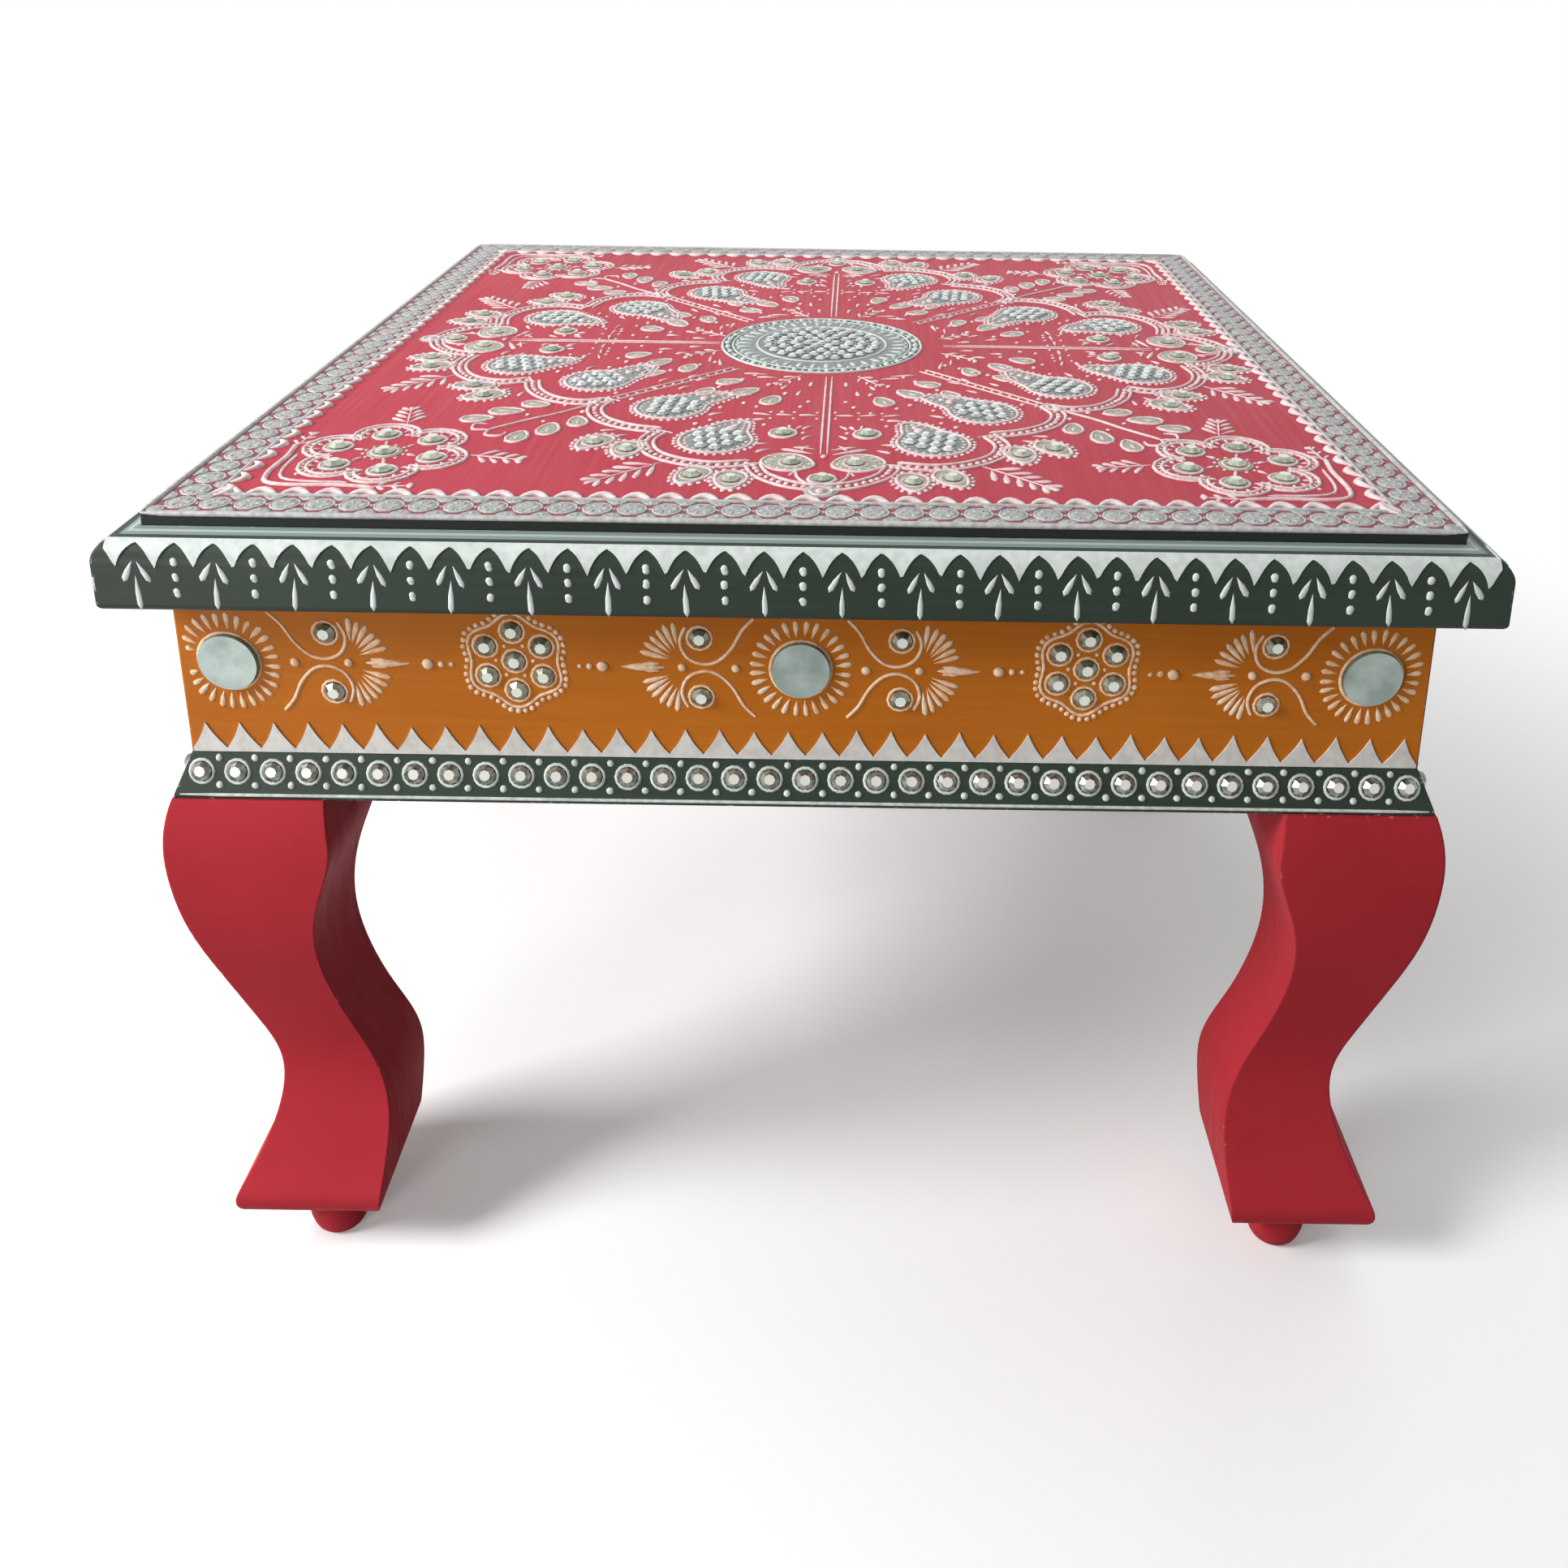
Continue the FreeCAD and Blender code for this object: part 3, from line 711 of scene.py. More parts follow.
def topBorder(s):
    # the front run of the lace border: silvered roundels, half moons between them
    design = newDesign()
    pitch = 2 * s["middle"] / s["count"]
    for reach, half in ((s["innerEdge"], s["line"]), (s["outerEdge"], s["line"] * 1.2)):
        stroke(design, smoothPath([(-reach, -reach), (0, -reach), (reach, -reach)], step=8), half)
    v = -s["middle"]
    for number in range(s["count"]):
        u = pitch * number - s["middle"]
        disc(design, u, v, s["roundel"], "silver", s["coat"])
        ring(design, u, v, s["roundel"], s["roundelLine"], count=10)
        for angle in turns(6):
            drop(design, *polar(u, v, s["petalStart"], angle), angle, *s["petal"])
        between = u + pitch / 2
        for way in (-1, 1):
            if way > 0 and abs(between) > s["innerEdge"]:
                continue                     # the next side's moon is there
            moon = [(between + s["moonHalf"] * cos(k * pi / 5),
                     v + way * (s["moonOut"] - s["moonRise"] * sin(k * pi / 5))) for k in range(6)]
            fill(design, moon, (between, v + way * s["moonMiddle"]), "silver", s["coat"])
            dot(design, between, v + way * s["moonDotOut"], s["moonDot"])
            stroke(design, smoothPath([moon[0], moon[2], moon[3], moon[5]], step=2), s["moonLine"])
        dot(design, between, v, s["betweenDot"])
    for corner in (s["middle"] - s["cornerStep"], s["middle"] + s["cornerStep"]):
        disc(design, -corner, -corner, s["cornerDisc"], "silver", s["coat"], count=8)
        ring(design, -corner, -corner, s["cornerDisc"], s["moonLine"], count=8)
    return fourfold(design)


def borderScallops(s):
    # white scallops along the border's inner line, pointing to the middle, each swelling to its middle
    design = newDesign()
    pitch = 2 * s["middle"] / s["count"]
    for number in range(1, s["count"]):
        u = pitch * number - s["middle"]
        arc = [(u + s["scallop"] * share, -s["innerEdge"] + s["scallopRise"] * (1 - share * share),
                s["scallopHalf"] * (s["scallopEnds"] + (1 - s["scallopEnds"]) * sin(pi * k / 6)))
               for k, share in enumerate((-1, -0.7, -0.35, 0, 0.35, 0.7, 1))]
        design["strokes"].append((arc, False))
    return fourfold(design)


medallionSettings = {
    "chipEdge": 18.4, "inner": 19.6, "outer": 27.0, "rim": 30.2,
    "petals": 38, "petalStart": 20.5, "petalLength": 5.6, "petalWidth": 2.7,
    "chipRings": 4, "firstRing": 2.1, "ringPitch": 4.1,
}


def medallion(s):
    # lace ring round the chips on a silvered ground: lines, spokes like petals, a beaded rim
    design = newDesign()
    for radius, tone, height in ((s["rim"] + 0.4, "dark", 0.12), (s["outer"] + 0.8, "grey", 0.18),
                                 (s["chipEdge"], "dark", 0.24)):
        disc(design, 0, 0, radius, tone, height, count=48)
    for radius, half in ((s["inner"], 0.5), (s["outer"], 0.4), (s["rim"], 0.45)):
        ring(design, 0, 0, radius, half, count=48)
    for angle in turns(s["petals"]):
        between = angle + pi / s["petals"]
        drop(design, *polar(0, 0, s["petalStart"], angle), angle, s["petalLength"], s["petalWidth"])
        dot(design, *polar(0, 0, s["outer"] + 1.6, angle), 1.1)
        dot(design, *polar(0, 0, s["outer"] + 1.6, between), 0.6)
        dot(design, *polar(0, 0, s["outer"] - 1.3, between), 0.7)
    # small marks between the chips
    for number in range(s["chipRings"]):
        for angle in turns(6 + 9 * number, 0.5):
            dot(design, *polar(0, 0, s["firstRing"] + s["ringPitch"] * number, angle), 0.7)
    return design


ribbonSettings = {"half": 1.8, "line": 0.52, "beadPitch": 2.2, "bead": 0.8, "cap": 3.4, "capLine": 0.45}


def ribbon(design, points, s):
    # two lines with dots between them, and a cap across the start
    path = smoothPath(points, step=1.6)
    for way in (-1, 1):
        stroke(design, offsetPath(path, way * s["half"]), s["line"])
    beads(design, path, s["beadPitch"], s["bead"])
    u, v = path[0]
    run = atan2(path[1][1] - v, path[1][0] - u)
    cap = [polar(u, v, s["cap"], run + pi / 2), (u, v), polar(u, v, s["cap"], run - pi / 2)]
    stroke(design, cap, s["capLine"])


paisleySettings = {"body": 9.0, "pull": 0.38, "coat": 0.18, "line": 0.55, "beadPitch": 2.0, "bead": 0.65}


def paisley(design, u, v, tipAngle, curl, reach, s):
    # a mango shape: round body, tip drawn out and curled, beads all round it
    outline = []
    for angle in turns(32):
        off = (angle - tipAngle + pi) % (2 * pi) - pi
        pull = exp(-(off / s["pull"]) ** 2)
        outline.append(polar(u, v, s["body"] + (reach - s["body"]) * pull, angle + curl * pull))
    fill(design, outline, (u, v), "grey", s["coat"])
    stroke(design, outline, s["line"], closed=True)
    for out in (-1.2, 1.4):
        beadRound(design, outline, out, s["beadPitch"], s["bead"])
    for share, radius in ((0.56, 1.5), (0.72, 1.1), (0.86, 0.8)):
        dot(design, *polar(u, v, reach * share, tipAngle + curl * 0.7), radius)
    end = tipAngle + curl
    drop(design, *polar(u, v, reach + 1.2, end), end - 1.1, 4.6, 2.2)


def leafOutline(u, v, angle, length, width, count, swell, start=0):
    # an oval along the angle, swelling towards its far end
    outline = []
    for t in turns(count):
        x = start + cos(t) * length / 2
        y = sin(t) * width / 2 * (1 + swell * cos(t))
        outline.append((u + x * cos(angle) - y * sin(angle), v + x * sin(angle) + y * cos(angle)))
    return outline


stoneLeafSettings = {
    "length": 11.2, "width": 7.2, "swell": -0.28, "coat": 0.2, "line": 0.6, "beadOut": -1.2, "beadPitch": 2.2,
    "bead": 0.7, "ring": 2.9, "ringLine": 0.42,
}


def stoneLeaf(design, u, v, angle, s):
    # a leaf outline round a stone, with beads outside
    outline = leafOutline(u, v, angle, s["length"], s["width"], 16, s["swell"])
    fill(design, outline, (u, v), "leaf", s["coat"])
    stroke(design, outline, s["line"], closed=True)
    beadRound(design, outline, s["beadOut"], s["beadPitch"], s["bead"])
    ring(design, u, v, s["ring"], s["ringLine"], count=10)


def loopLeaf(design, u, v, angle, length, width):
    # a small filled leaf with a drop on it
    outline = leafOutline(u, v, angle, length, width, 10, 0.3, start=length / 2)
    fill(design, outline, polar(u, v, length / 2, angle), "leaf", 0.18)
    stroke(design, outline, 0.5, closed=True)
    drop(design, *polar(u, v, length * 0.25, angle), angle, length * 0.55, width * 0.34)


# the octant's places, in mm from the middle
ribbonPaths = (
    ((-58, -57.5), (-60.5, -65), (-57.5, -73.5), (-50, -79.5), (-41.5, -82)),
    ((-41, -82.5), (-43.5, -90), (-41, -98), (-34.5, -103.5), (-26, -106), (-17, -104.5)),
    ((-16.5, -105), (-14, -112), (-8, -117.5), (-1, -120)),
)
# tip's heading, curl and reach
paisleyPlaces = ((-26.7, -89, 75, -0.12, 16.5), (-41, -64, 51, -0.2, 20))
# shares of the panel's half width, and heading
leafStones = ((0.400, 0.655, -122), (0.338, 0.690, -96), (0.213, 0.809, -114), (0.148, 0.827, -92))
# each kind of mark and its sizes, then its places and headings; in the order they are laid
octantMarks = (
    # beside the stemmed stone, then a spray across the axis line
    (drop, (3.4, 1.8), (-7.6, -80.2, 60)), (drop, (3.0, 1.6), (-8.8, -79.4, 100)),
    (drop, (5.4, 1.4), (-2.0, -68.6, 180), (-8.0, -68.6, 174), (-14.0, -68.6, 168)),
    # small sprigs between the medallion and the paisleys
    (loopLeaf, (7.6, 5.0), (-13.5, -53, -112)), (loopLeaf, (8.6, 5.2), (-19, -46.5, -140)),
    (drop, (7.5, 1.7), (-17, -32.6, 172)), (drop, (6.5, 1.5), (-14, -35.4, 178)),
    (drop, (4.8, 2.0), (-7.5, -47, -100)), (drop, (4.4, 1.9), (-11, -42, -115)),
    (drop, (4.6, 1.9), (-4.6, -38.5, -95)), (fern, (11.5, 3, 4.4, 1.6), (-8, -33, -125)),
    (loopLeaf, (7.4, 4.6), (-24, -39, -160)), (loopLeaf, (7.0, 4.6), (-31.5, -46.5, -118)),
    (drop, (4.2, 1.6), (-3.2, -76.5, -128), (-3.2, -84.0, -128), (-3.2, -91.5, -128)),
    (drop, (4.6, 1.8), (-26.5, -67, -150), (-13.5, -90.5, -170), (-12.5, -94.5, -150),
     (-37.5, -44.5, -140), (-33, -37, -150), (-48.5, -85.5, -150), (-51.5, -82, -170)),
    # fern outside the ribbon, then half of the sprig on the diagonal
    (fern, (21.5, 5, 8.2, 2.6), (-37.5, -104.5, -137)), (loopLeaf, (7.6, 4.8), (-63.5, -72.5, -80)),
    (loopLeaf, (9.0, 5.2), (-68.5, -78, -95)), (loopLeaf, (8.2, 4.8), (-74.5, -84.5, -100)),
)
octantDots = (
    (-5.4, -82.5, 0.7), (-2.4, -71.2, 0.55), (-2.4, -66.2, 0.55), (-8.4, -71.2, 0.55), (-8.4, -66.2, 0.55),
    (-14.4, -71.2, 0.55), (-14.4, -66.2, 0.55), (-11.5, -50.5, 0.8), (-24, -54.5, 0.8), (-16.5, -42.5, 0.9),
    (-5, -57, 0.7), (-7, -61.5, 0.7), (-21, -33.5, 0.75), (-24, -37.4, 0.75), (-27, -41.3, 0.75),
    (-30, -45.2, 0.75), (-33, -76.5, 0.8), (-29.5, -73.5, 0.65), (-20, -73, 0.8), (-15.5, -76.5, 0.65),
    (-52, -57, 0.8), (-47, -47.5, 0.7), (-22, -59, 0.8), (-18.5, -62, 0.65), (-11.5, -66, 0.65),
    (-28, -63, 0.7), (-63, -68.5, 0.8), (-71.5, -76.5, 0.7),
)
budSettings = {
    "outline": ((-2.4, -106.5), (-3.2, -101.8), (-6.8, -98.4), (-11.6, -98.8), (-14.6, -102.8),
                (-12.8, -107.4), (-7.6, -109.4)),
    "middle": (-8.2, -103.8), "stone": (-7.56, -104),
    "stem": ((-6.2, -109.5), (-5.6, -113.5), (-3.2, -117.4), (0, -118.6)),
    "leaves": ((-1.8, -97.6, 160, 9.4, 2.4), (-1.5, -94.6, 165, 6.5, 1.6), (-5.6, -109.0, -120, 4.0, 1.5)),
}


def stoneBud(design, s):
    # bud by the axis: a beaded leaf round its stone, small petals, leaves and a stem
    outline = smoothPath(s["outline"], closed=True)
    fill(design, outline, s["middle"], "leaf", 0.2)
    stroke(design, outline, 0.5, closed=True)
    beadRound(design, outline, 1.2, 2.2, 0.6)
    ring(design, *s["stone"], 2.9, 0.42, count=10)
    for number in range(5):
        swing = radians(-160 + 80 * number)
        drop(design, *polar(*s["stone"], 3.6, swing), swing, 2.4, 1.2)
    for u, v, heading, *sizes in s["leaves"]:
        drop(design, u, v, radians(heading), *sizes)
    stroke(design, smoothPath(s["stem"]), 0.45)


def topOctant():
    # between the front axis and the front left diagonal
    design = newDesign()
    for points in ribbonPaths:
        ribbon(design, points, ribbonSettings)
    for u, v, heading, curl, reach in paisleyPlaces:
        paisley(design, u, v, radians(heading), curl, reach, paisleySettings)
    for across, out, heading in leafStones:
        stoneLeaf(design, -across * panelHalf, -out * panelHalf, radians(heading), stoneLeafSettings)
    # the stemmed stone by the axis
    disc(design, -10.5, -83, 3.6, "leaf")
    ring(design, -10.5, -83, 3.4, 0.5)
    for mark, sizes, *places in octantMarks:
        for u, v, heading in places:
            mark(design, u, v, radians(heading), *sizes)
    for u, v, radius in octantDots:
        dot(design, u, v, radius)
    stoneBud(design, budSettings)
    return design


quarterSettings = {
    "axisStart": 34, "axisStep": 10.6, "axisOff": 0.8, "axisLine": 0.32,
    "discs": ((-114.5, 3.4, "leaf"), (-121.5, 4.2, "silver")), "rings": ((-114.5, 3.2, 12), (-122, 2.6, 8)),
    "ringLine": 0.5, "dots": ((0, -122, 1.3), (0, -99.5, 0.9)), "stemDot": (-61, -61, 1.4),
    "diagonal": (26.5, 57.0), "diagonalOff": 1.25, "diagonalLine": 0.3, "beadPitch": 3.0, "bead": 0.55,
    "stemLine": 0.45,
    "stem": ((-60.5, -60.5), (-68, -69), (-76, -76), (-83.5, -83.5)),
    "curl": ((-83.5, -83.5), (-87.5, -83.5), (-88, -79.5), (-85, -79)),
}


def topQuarter(s):
    # marks on the front axis and on the front left diagonal
    design = newDesign()
    for way in (-1, 1):
        line = [(way * s["axisOff"], -s["axisStart"] - s["axisStep"] * number) for number in range(7)]
        stroke(design, line, s["axisLine"])
    for v, radius, tone in s["discs"]:
        disc(design, 0, v, radius, tone)
    for v, radius, count in s["rings"]:
        ring(design, 0, v, radius, s["ringLine"], count)
    for place in s["dots"]:
        dot(design, *place)
    # double beaded line on the diagonal
    start, end = s["diagonal"]
    path = smoothPath([(-start, -start), (-(start + end) / 2, -(start + end) / 2), (-end, -end)])
    for way in (-1, 1):
        stroke(design, offsetPath(path, way * s["diagonalOff"]), s["diagonalLine"])
    beads(design, path, s["beadPitch"], s["bead"])
    # sprig's stem with its two curls
    for points in (s["stem"], s["curl"], [(v, u) for u, v in s["curl"]]):
        stroke(design, smoothPath(points), s["stemLine"])
    dot(design, *s["stemDot"])
    return design


rosetteSettings = {
    "middle": 100.8, "radius": 12.5, "petalRing": 3.15, "ringLine": 0.42, "innerDrop": (-4.0, 3.0, 1.5),
    "outerDrop": (4.0, 1.8, 1.1), "dropTurn": 34, "lobes": (6.2, 8.0), "lobeSweep": 224, "lobeLine": 0.5,
    "between": (15.5, 0.9), "dots": (-116, -115.2, -114.4),
    "ferns": ((-101.8, -80.3, 102, 13.5, 4, 6.4, 2.2), (-80.3, -101.8, -12, 13.5, 4, 6.4, 2.2),
              (-123, -97, 84, 9.5, 3, 3.6, 1.5), (-97, -123, 6, 9.5, 3, 3.6, 1.5)),
    "outerBracket": ((-123.5, -96), (-122.5, -104), (-121, -121), (-104, -122.5), (-96, -123.5)),
    "innerBracket": ((-120.6, -103), (-118.4, -118.4), (-103, -120.6)),
}


def cornerRosette(s):
    # stones in rings, a lobed double outline, two spears and a bracket in the corner
    design = newDesign()
    m = s["middle"]
    petal = s["petalRing"]
    disc(design, -m, -m, 4.4, "leaf")
    ring(design, -m, -m, petal, 0.45)
    beadRound(design, circlePath(-m, -m, 5.0, 20), 0, 2.6, 0.5)
    for angle in turns(6, 0.75):
        u, v = polar(-m, -m, s["radius"], angle)
        disc(design, u, v, petal + 0.8, "silver", 0.16)
        disc(design, u, v, petal - 0.2, "leaf", 0.22)
        ring(design, u, v, petal + 0.2, s["ringLine"])
        reach, *sizes = s["innerDrop"]
        drop(design, *polar(u, v, reach, angle), angle + pi, *sizes)
        reach, *sizes = s["outerDrop"]
        for step in range(-3, 4):
            swing = angle + step * radians(s["dropTurn"])
            drop(design, *polar(u, v, reach, swing), swing, *sizes)
        for lobe in s["lobes"]:
            arc = [polar(u, v, lobe, angle + radians(s["lobeSweep"] * (step / 10 - 0.5)))
                   for step in range(11)]
            stroke(design, arc, s["lobeLine"])
        beads(design, offsetPath(arc, 0.95), 1.9, 0.45)
        reach, radius = s["between"]
        dot(design, *polar(-m, -m, reach, angle + pi / 6), radius)
    for u, v, heading, *sizes in s["ferns"]:
        fern(design, u, v, radians(heading), *sizes)
    for points, half in ((s["outerBracket"], 0.65), (s["innerBracket"], 0.4)):
        stroke(design, smoothPath(points, step=2.5), half)
    for place in s["dots"]:
        dot(design, place, place, 0.6)
    return design


gardenShift = 3.0            # it is painted a little to the right of the middle
border = topBorder(borderSettings)
medal = medallion(medallionSettings)
scallops = borderScallops(borderSettings)
garden = shifted(eightfold(topOctant()), gardenShift, 0)
axes = shifted(fourfold(topQuarter(quarterSettings)), gardenShift, 0)
rosettes = fourfold(cornerRosette(rosetteSettings))
whole = joined(border, medal, garden, axes, rosettes)
for tone, material in grounds.items():
    layPaste("top_ground_" + tone, groundOnly(whole, tone), topSheet, material, pasteSettings)
layPaste("top_border_paste", pasteOnly(border), topSheet, silverPaste, pasteSettings, seed=11)
layPaste("top_scallop_paste", scallops, topSheet, scallopPaste, pasteSettings, seed=16)
layPaste("medallion_paste", pasteOnly(medal), topSheet, tracePaste, medalReliefSettings, seed=12)
layPaste("top_garden_paste", pasteOnly(garden), topSheet, whitePaste, pasteSettings, seed=13)
layPaste("top_axes_paste", pasteOnly(axes), topSheet, whitePaste, pasteSettings, seed=14)
layPaste("corner_rosette_paste", pasteOnly(rosettes), topSheet, whitePaste, pasteSettings, seed=15)
print("top ornament laid")


# white coats with teeth, on the nose and along the waist

def toothedCoat(name, s, sheet, material, turn):
    # a strip from its root line to a toothed edge: depth changes along it, thickness by solidify
    deselect()
    columns = s["count"] * s["columns"]
    bpy.ops.mesh.primitive_grid_add(x_subdivisions=columns, y_subdivisions=s["rows"], size=1)
    piece = bpy.context.object
    piece.name = name
    turned = Matrix.Rotation(radians(turn), 4, "Z")
    rng = random.Random(s["seed"] + turn)
    lengths = [rng.uniform(0.93, 1.05) for _ in range(s["count"] + 2)]
    for vertex in piece.data.vertices:
        u = vertex.co.x * s["width"]
        tooth = u / s["pitch"] + s["count"] / 2
        off = abs((tooth % 1) - 0.5) * 2               # 0 at the tooth's tip, 1 at its root
        depth = (1 - off) * (1 - s["hollow"]) + (1 - off) ** 3 * s["hollow"]
        reach = s["root"] + (s["tip"] * lengths[int(tooth)] - s["root"]) * depth
        share = 0.5 + vertex.co.y
        v = s["start"] + s["way"] * reach * (share if s["way"] > 0 else 1 - share)
        vertex.co = turned @ (Vector(sheet(u, v, s["lift"])) * mm)
    solid = piece.modifiers.new("coat", "SOLIDIFY")
    solid.thickness = s["thickness"] * mm
    solid.offset = -1
    deselect()
    piece.select_set(True)
    bpy.context.view_layer.objects.active = piece
    bpy.ops.object.modifier_apply(modifier=solid.name)
    bpy.ops.object.shade_smooth_by_angle(angle=radians(40))
    piece.data.materials.clear()
    piece.data.materials.append(material)
    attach(piece, "root")


noseToothSettings = {
    "count": 36, "pitch": 8.17, "width": 290.4, "columns": 14, "rows": 6, "root": 1.1, "tip": 6.7,
    "hollow": 0.45, "start": -0.1, "way": -1, "lift": 0.28, "thickness": 0.5, "seed": 3,
}
waistToothSettings = {
    "count": 36, "pitch": 7.86, "width": 282.96, "columns": 12, "rows": 4, "root": 0.9, "tip": 7.4,
    "hollow": 0.25, "start": 0.05, "way": 1, "lift": 0.3, "thickness": 0.6, "seed": 5,
}
noseMarkSettings = {
    "arrowTop": 5.0, "sideDrop": 5.6, "sideWidth": 2.1, "sideTurn": 27, "stemTop": 8.2, "stem": 7.9,
    "stemWidth": 2.1, "dots": (5.2, 8.5, 12.0), "dotSize": 0.85, "slant": 0.1, "pastPanel": 4,
}


def noseMarks(s, pitch, count):
    # under the arches: an arrow of three drops, then three dots, in turn
    design = newDesign()
    for number in range(count + 1):
        u = (number - count / 2) * pitch
        if abs(u) > panelHalf + s["pastPanel"]:
            continue                     # the lobe at each mitre is plain
        slant = s["slant"] * u / panelHalf               # the marks fan out a little to the ends
        if number % 2:
            for way in (-1, 1):
                drop(design, u + 0.3 * way, -s["arrowTop"], radians(-90 + way * s["sideTurn"]) + slant,
                     s["sideDrop"], s["sideWidth"])
            stemPlace = u + slant * (s["stemTop"] - s["arrowTop"])
            drop(design, stemPlace, -s["stemTop"], radians(-90) + slant, s["stem"], s["stemWidth"])
        else:
            for depth in s["dots"]:
                place = u + slant * (depth - s["dots"][0])
                dot(design, place, -depth, s["dotSize"])
                dot(design, place, -depth - 0.5, s["dotSize"] * 0.9)
    return design


# the aprons' ornament: u along the front from the middle, v up the face from the waist

mirrorInset = 14.0
endInset = 3.6               # the rays stop this far from the apron's end
ornamentHeight = 22.9
ornamentShift = -1.0         # it is painted a little to the left of the middle
raySettings = {
    "count": 28, "start": 7.6, "length": 4.0, "swell": 0.12, "width": 2.1, "least": 2.0, "rim": 6.9,
}


def mirrorRays(s, u, v, limit):
    # rim and rays round a mirror, shortened at the apron's end
    design = newDesign()
    ring(design, u, v, s["rim"], 0.4, count=28)
    for angle in turns(s["count"], 0.5):
        length = s["length"] * (1 + s["swell"] * abs(sin(angle)))
        over = abs(u + ornamentShift + (s["start"] + length) * cos(angle)) - limit
        if over > 0:
            length -= over / abs(cos(angle))
        if length > s["least"]:
            drop(design, *polar(u, v, s["start"], angle), angle, length, s["width"])
    return design


spraySettings = {
    "scroll": ((10.4, 12.0), (13.0, 9.2), (15.4, 4.8), (18.6, 1.6), (22.2, 0.9), (25.6, 2.7), (26.9, 6.4),
               (25.6, 9.8)),
    "stone": (22.5, 7.2), "stoneRing": 2.8, "palmette": 6,
    "tip": ((30.6, 0), (33.5, 0), (36.5, 0), (40.2, 0)),
    "tipSide": ((31.8, 0.9), (34.2, 0.85), (36.8, 0.2)),
    "dots": ((14.6, 1.1), (26.6, 1.1), (44.4, 1.35), (47.4, 0.8), (49.6, 0.6)),
}


def scrollSpray(s):
    # from a mirror's middle outwards: two scrolls round their stones, palmette, dots
    design = newDesign()
    across, up = s["stone"]
    for way in (-1, 1):
        stroke(design, smoothPath([(u, way * v) for u, v in s["scroll"]], step=1.4), 0.42, ends=0.8)
        ring(design, across, way * up, s["stoneRing"], 0.36)
        # palmette: drops fanned about a point before the long tip
        for number in range(s["palmette"]):
            share = number / (s["palmette"] - 1)
            heading = radians(16 + 66 * share)
            u, v = polar(28.4 - 1.2 * share, 1.6 + 1.6 * share, 0.4 * (2.2 + 2.6 * share), heading)
            drop(design, u, way * v, way * heading, 7.0 - 0.7 * share, 2.1)
    stroke(design, s["tip"], 0.95, ends=0.15)
    for way in (1, -1):
        stroke(design, [(u, way * v) for u, v in s["tipSide"]], 0.5)
    for u, radius in s["dots"]:
        dot(design, u, 0, radius)
    return design


flowerSettings = {"radius": 7.2, "raise": 1.0, "stoneRing": 2.8, "lobe": 10.4, "lobeRise": 0.8, "points": 48}


def apronRosette(s):
    # seven ringed stones in a beaded, scalloped outline
    design = newDesign()
    ring(design, 0, 0, s["stoneRing"], 0.35)
    for angle in turns(6, 1.5):
        ring(design, *polar(0, 0, s["radius"], angle), s["stoneRing"], 0.36)
        dot(design, *polar(0, 0, 4.1, angle + pi / 6), 0.5)
    outline = []
    for angle in turns(s["points"]):
        lobe = s["lobe"] + s["lobeRise"] * cos(6 * (angle - pi / 2))
        outline.append((lobe * cos(angle), lobe * 1.03 * sin(angle)))
    stroke(design, outline, 0.42, closed=True)
    beadRound(design, outline, -1.1, 1.7, 0.68)
    return design


def apronOrnament():
    end = waistHalf - mirrorInset
    spray = scrollSpray(spraySettings)
    flower = apronRosette(flowerSettings)
    parts = []
    for middle, ways in ((-end, (1,)), (0, (-1, 1)), (end, (-1,))):
        parts.append(mirrorRays(raySettings, middle, ornamentHeight, waistHalf - endInset))
        parts += [shifted(spray, middle, ornamentHeight, way < 0) for way in ways]
    parts += [shifted(flower, way * end / 2, ornamentHeight + flowerSettings["raise"]) for way in (-1, 1)]
    return shifted(joined(*parts), ornamentShift, 0)


bandSettings = {
    "pitch": 8.23, "count": 35, "rowShare": 0.54, "ring": 2.75, "ringHalf": 0.42, "spread": 3.2,
    "dotSize": 0.9, "endInset": 1.4, "linePoints": 36, "lineUp": 0.1, "lineHalf": 0.4,
}


def bandOrnament(s):
    # a ring round every stone, square dots between them, a thin line along the foot
    design = newDesign()
    middle = hypot(waistLevel - shoulderLevel - bandLip, bandHalf - waistHalf) * s["rowShare"]
    first = -s["pitch"] * (s["count"] - 1) / 2
    for number in range(s["count"]):
        ring(design, first + s["pitch"] * number, middle, s["ring"], s["ringHalf"], count=14)
    for number in range(1, s["count"]):
        for way in (1, -1):
            dot(design, first + s["pitch"] * (number - 0.5), middle + way * s["spread"], s["dotSize"])
    edge = bandHalf - s["endInset"]
    last = s["linePoints"] - 1
    stroke(design, [(edge * (2 * k / last - 1), s["lineUp"]) for k in range(last + 1)], s["lineHalf"])
    return design


reliefSettings = dict(pasteSettings, lineHeight=0.8, dropHeight=0.45)
noseReliefSettings = dict(pasteSettings, dropHeight=0.32, dotShare=0.4)
marks = noseMarks(noseMarkSettings, noseToothSettings["pitch"], noseToothSettings["count"])
apronPaste = apronOrnament()
bandRow = bandOrnament(bandSettings)
for side, turn in sideTurns.items():
    toothedCoat("nose_teeth_" + side, noseToothSettings, noseSheet, tracePaste, turn)
    toothedCoat("waist_teeth_" + side, waistToothSettings, apronSheet, waistPaste, turn)
    layPaste("nose_marks_" + side, marks, noseSheet, tracePaste, noseReliefSettings, turn, 20 + turn)
    layPaste("apron_paste_" + side, apronPaste, apronSheet, peachPaste, reliefSettings, turn, 30 + turn)
    layPaste("band_paste_" + side, bandRow, bandSheet, bandPaste, reliefSettings, turn, 40 + turn)
print("side ornament laid")


# room and lamps

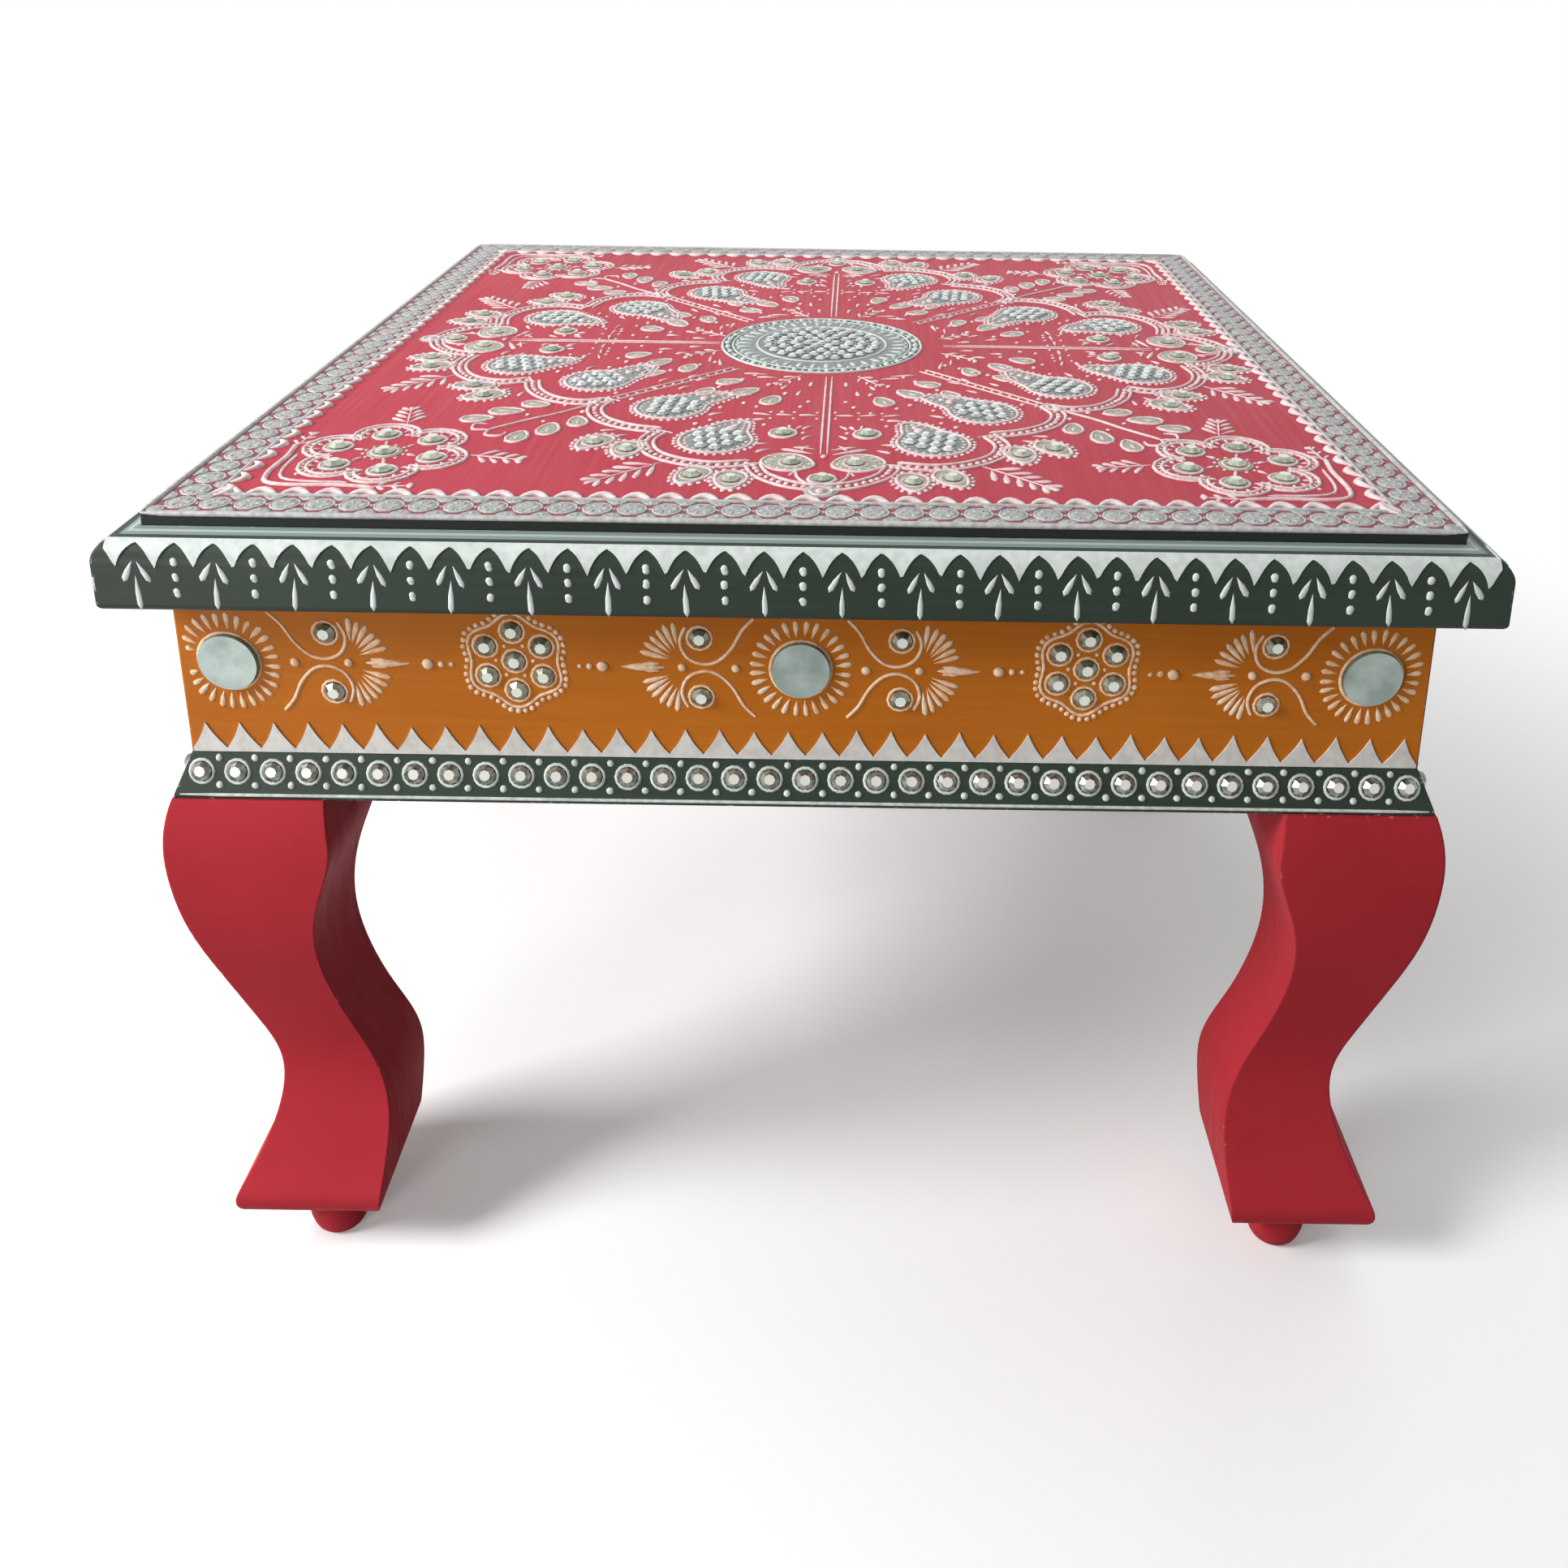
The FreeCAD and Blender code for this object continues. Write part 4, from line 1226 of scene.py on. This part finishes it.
roomSettings = {
    "floorSize": 8.0,
    "floorColor": "#909090",       # what the floor throws back on the object
    "seenColor": "#fcfcfc",        # what the camera sees of it
    "seenGlow": 0.12,
    "fadeStart": 0.2,
    "fadeEnd": 0.58,
    "worldStrength": 0.22,
}


def seenRays(tree):
    # 1 for what the camera sees, straight or in a reflection or through glass
    path = addNode(tree, "LightPath").outputs
    either = calculate(tree, "MAXIMUM", path["Is Camera Ray"], path["Is Glossy Ray"])
    return calculate(tree, "MAXIMUM", either, path["Is Transmission Ray"])


def mixShaders(tree, factor, first, second):
    return addNode(tree, "MixShader", {0: factor, 1: first.outputs[0], 2: second.outputs[0]})


def makeRoom(s):
    scene = bpy.context.scene
    scene.view_settings.view_transform = "Standard"
    world = bpy.data.worlds.new("studio")
    scene.world = world
    world.use_nodes = True
    tree = world.node_tree
    tree.nodes.clear()
    white = linear("#ffffff")
    soft = addNode(tree, "Background", {"Color": white, "Strength": s["worldStrength"]})
    seen = addNode(tree, "Background", {"Color": white, "Strength": 1.0})
    addNode(tree, "OutputWorld", {"Surface": mixShaders(tree, seenRays(tree), soft, seen).outputs[0]})
    deselect()
    bpy.ops.mesh.primitive_plane_add(size=s["floorSize"], location=(0, 0, 0))
    sheet = bpy.context.object
    sheet.name = "floor"
    material, tree, place = newMaterial("studio floor, white sweep")
    distance = addNode(tree, "VectorMath", {0: place}, operation="LENGTH").outputs["Value"]
    fade = mapRange(tree, distance, s["fadeStart"], s["fadeEnd"], interpolation_type="SMOOTHSTEP")
    rays = seenRays(tree)
    plain = addNode(tree, "BsdfDiffuse", {"Color": linear(s["floorColor"])})
    seen = addNode(tree, "BsdfPrincipled", {
        "Base Color": linear(s["seenColor"]), "Roughness": 0.6, "Specular IOR Level": 0.1,
        "Emission Color": white, "Emission Strength": s["seenGlow"],
    })
    glow = addNode(tree, "Emission", {"Color": white, "Strength": 1.0})
    near = mixShaders(tree, rays, plain, seen)
    mix = mixShaders(tree, calculate(tree, "MULTIPLY", fade, rays), near, glow)
    addNode(tree, "OutputMaterial", {"Surface": mix.outputs[0]})
    sheet.data.materials.append(material)


def makeLamp(name, place, aim, size, power, sheen=True):
    light = bpy.data.lights.new(name, "AREA")
    light.shape = "SQUARE"
    light.size = size
    light.energy = power
    holder = bpy.data.objects.new(name, light)
    bpy.context.scene.collection.objects.link(holder)
    direction = Vector(aim) - Vector(place)
    holder.rotation_euler = direction.to_track_quat("-Z", "Y").to_euler()
    holder.location = place
    holder.visible_glossy = sheen        # a fill lamp puts no sheen on the enamel


makeRoom(roomSettings)
makeLamp("key lamp", (-0.85, -0.36, 0.68), (0, 0, 0.1), 0.36, 11.5)
makeLamp("low front lamp", (-0.62, -0.92, 0.2), (0, 0, 0.08), 0.3, 3.8)
makeLamp("back lamp", (0.1, 1.1, 0.5), (0, 0, 0.08), 0.8, 3.6, sheen=False)
makeLamp("top lamp", (0.1, 0.5, 1.3), (0, 0, 0.1), 1.0, 3.5)
print("room set")
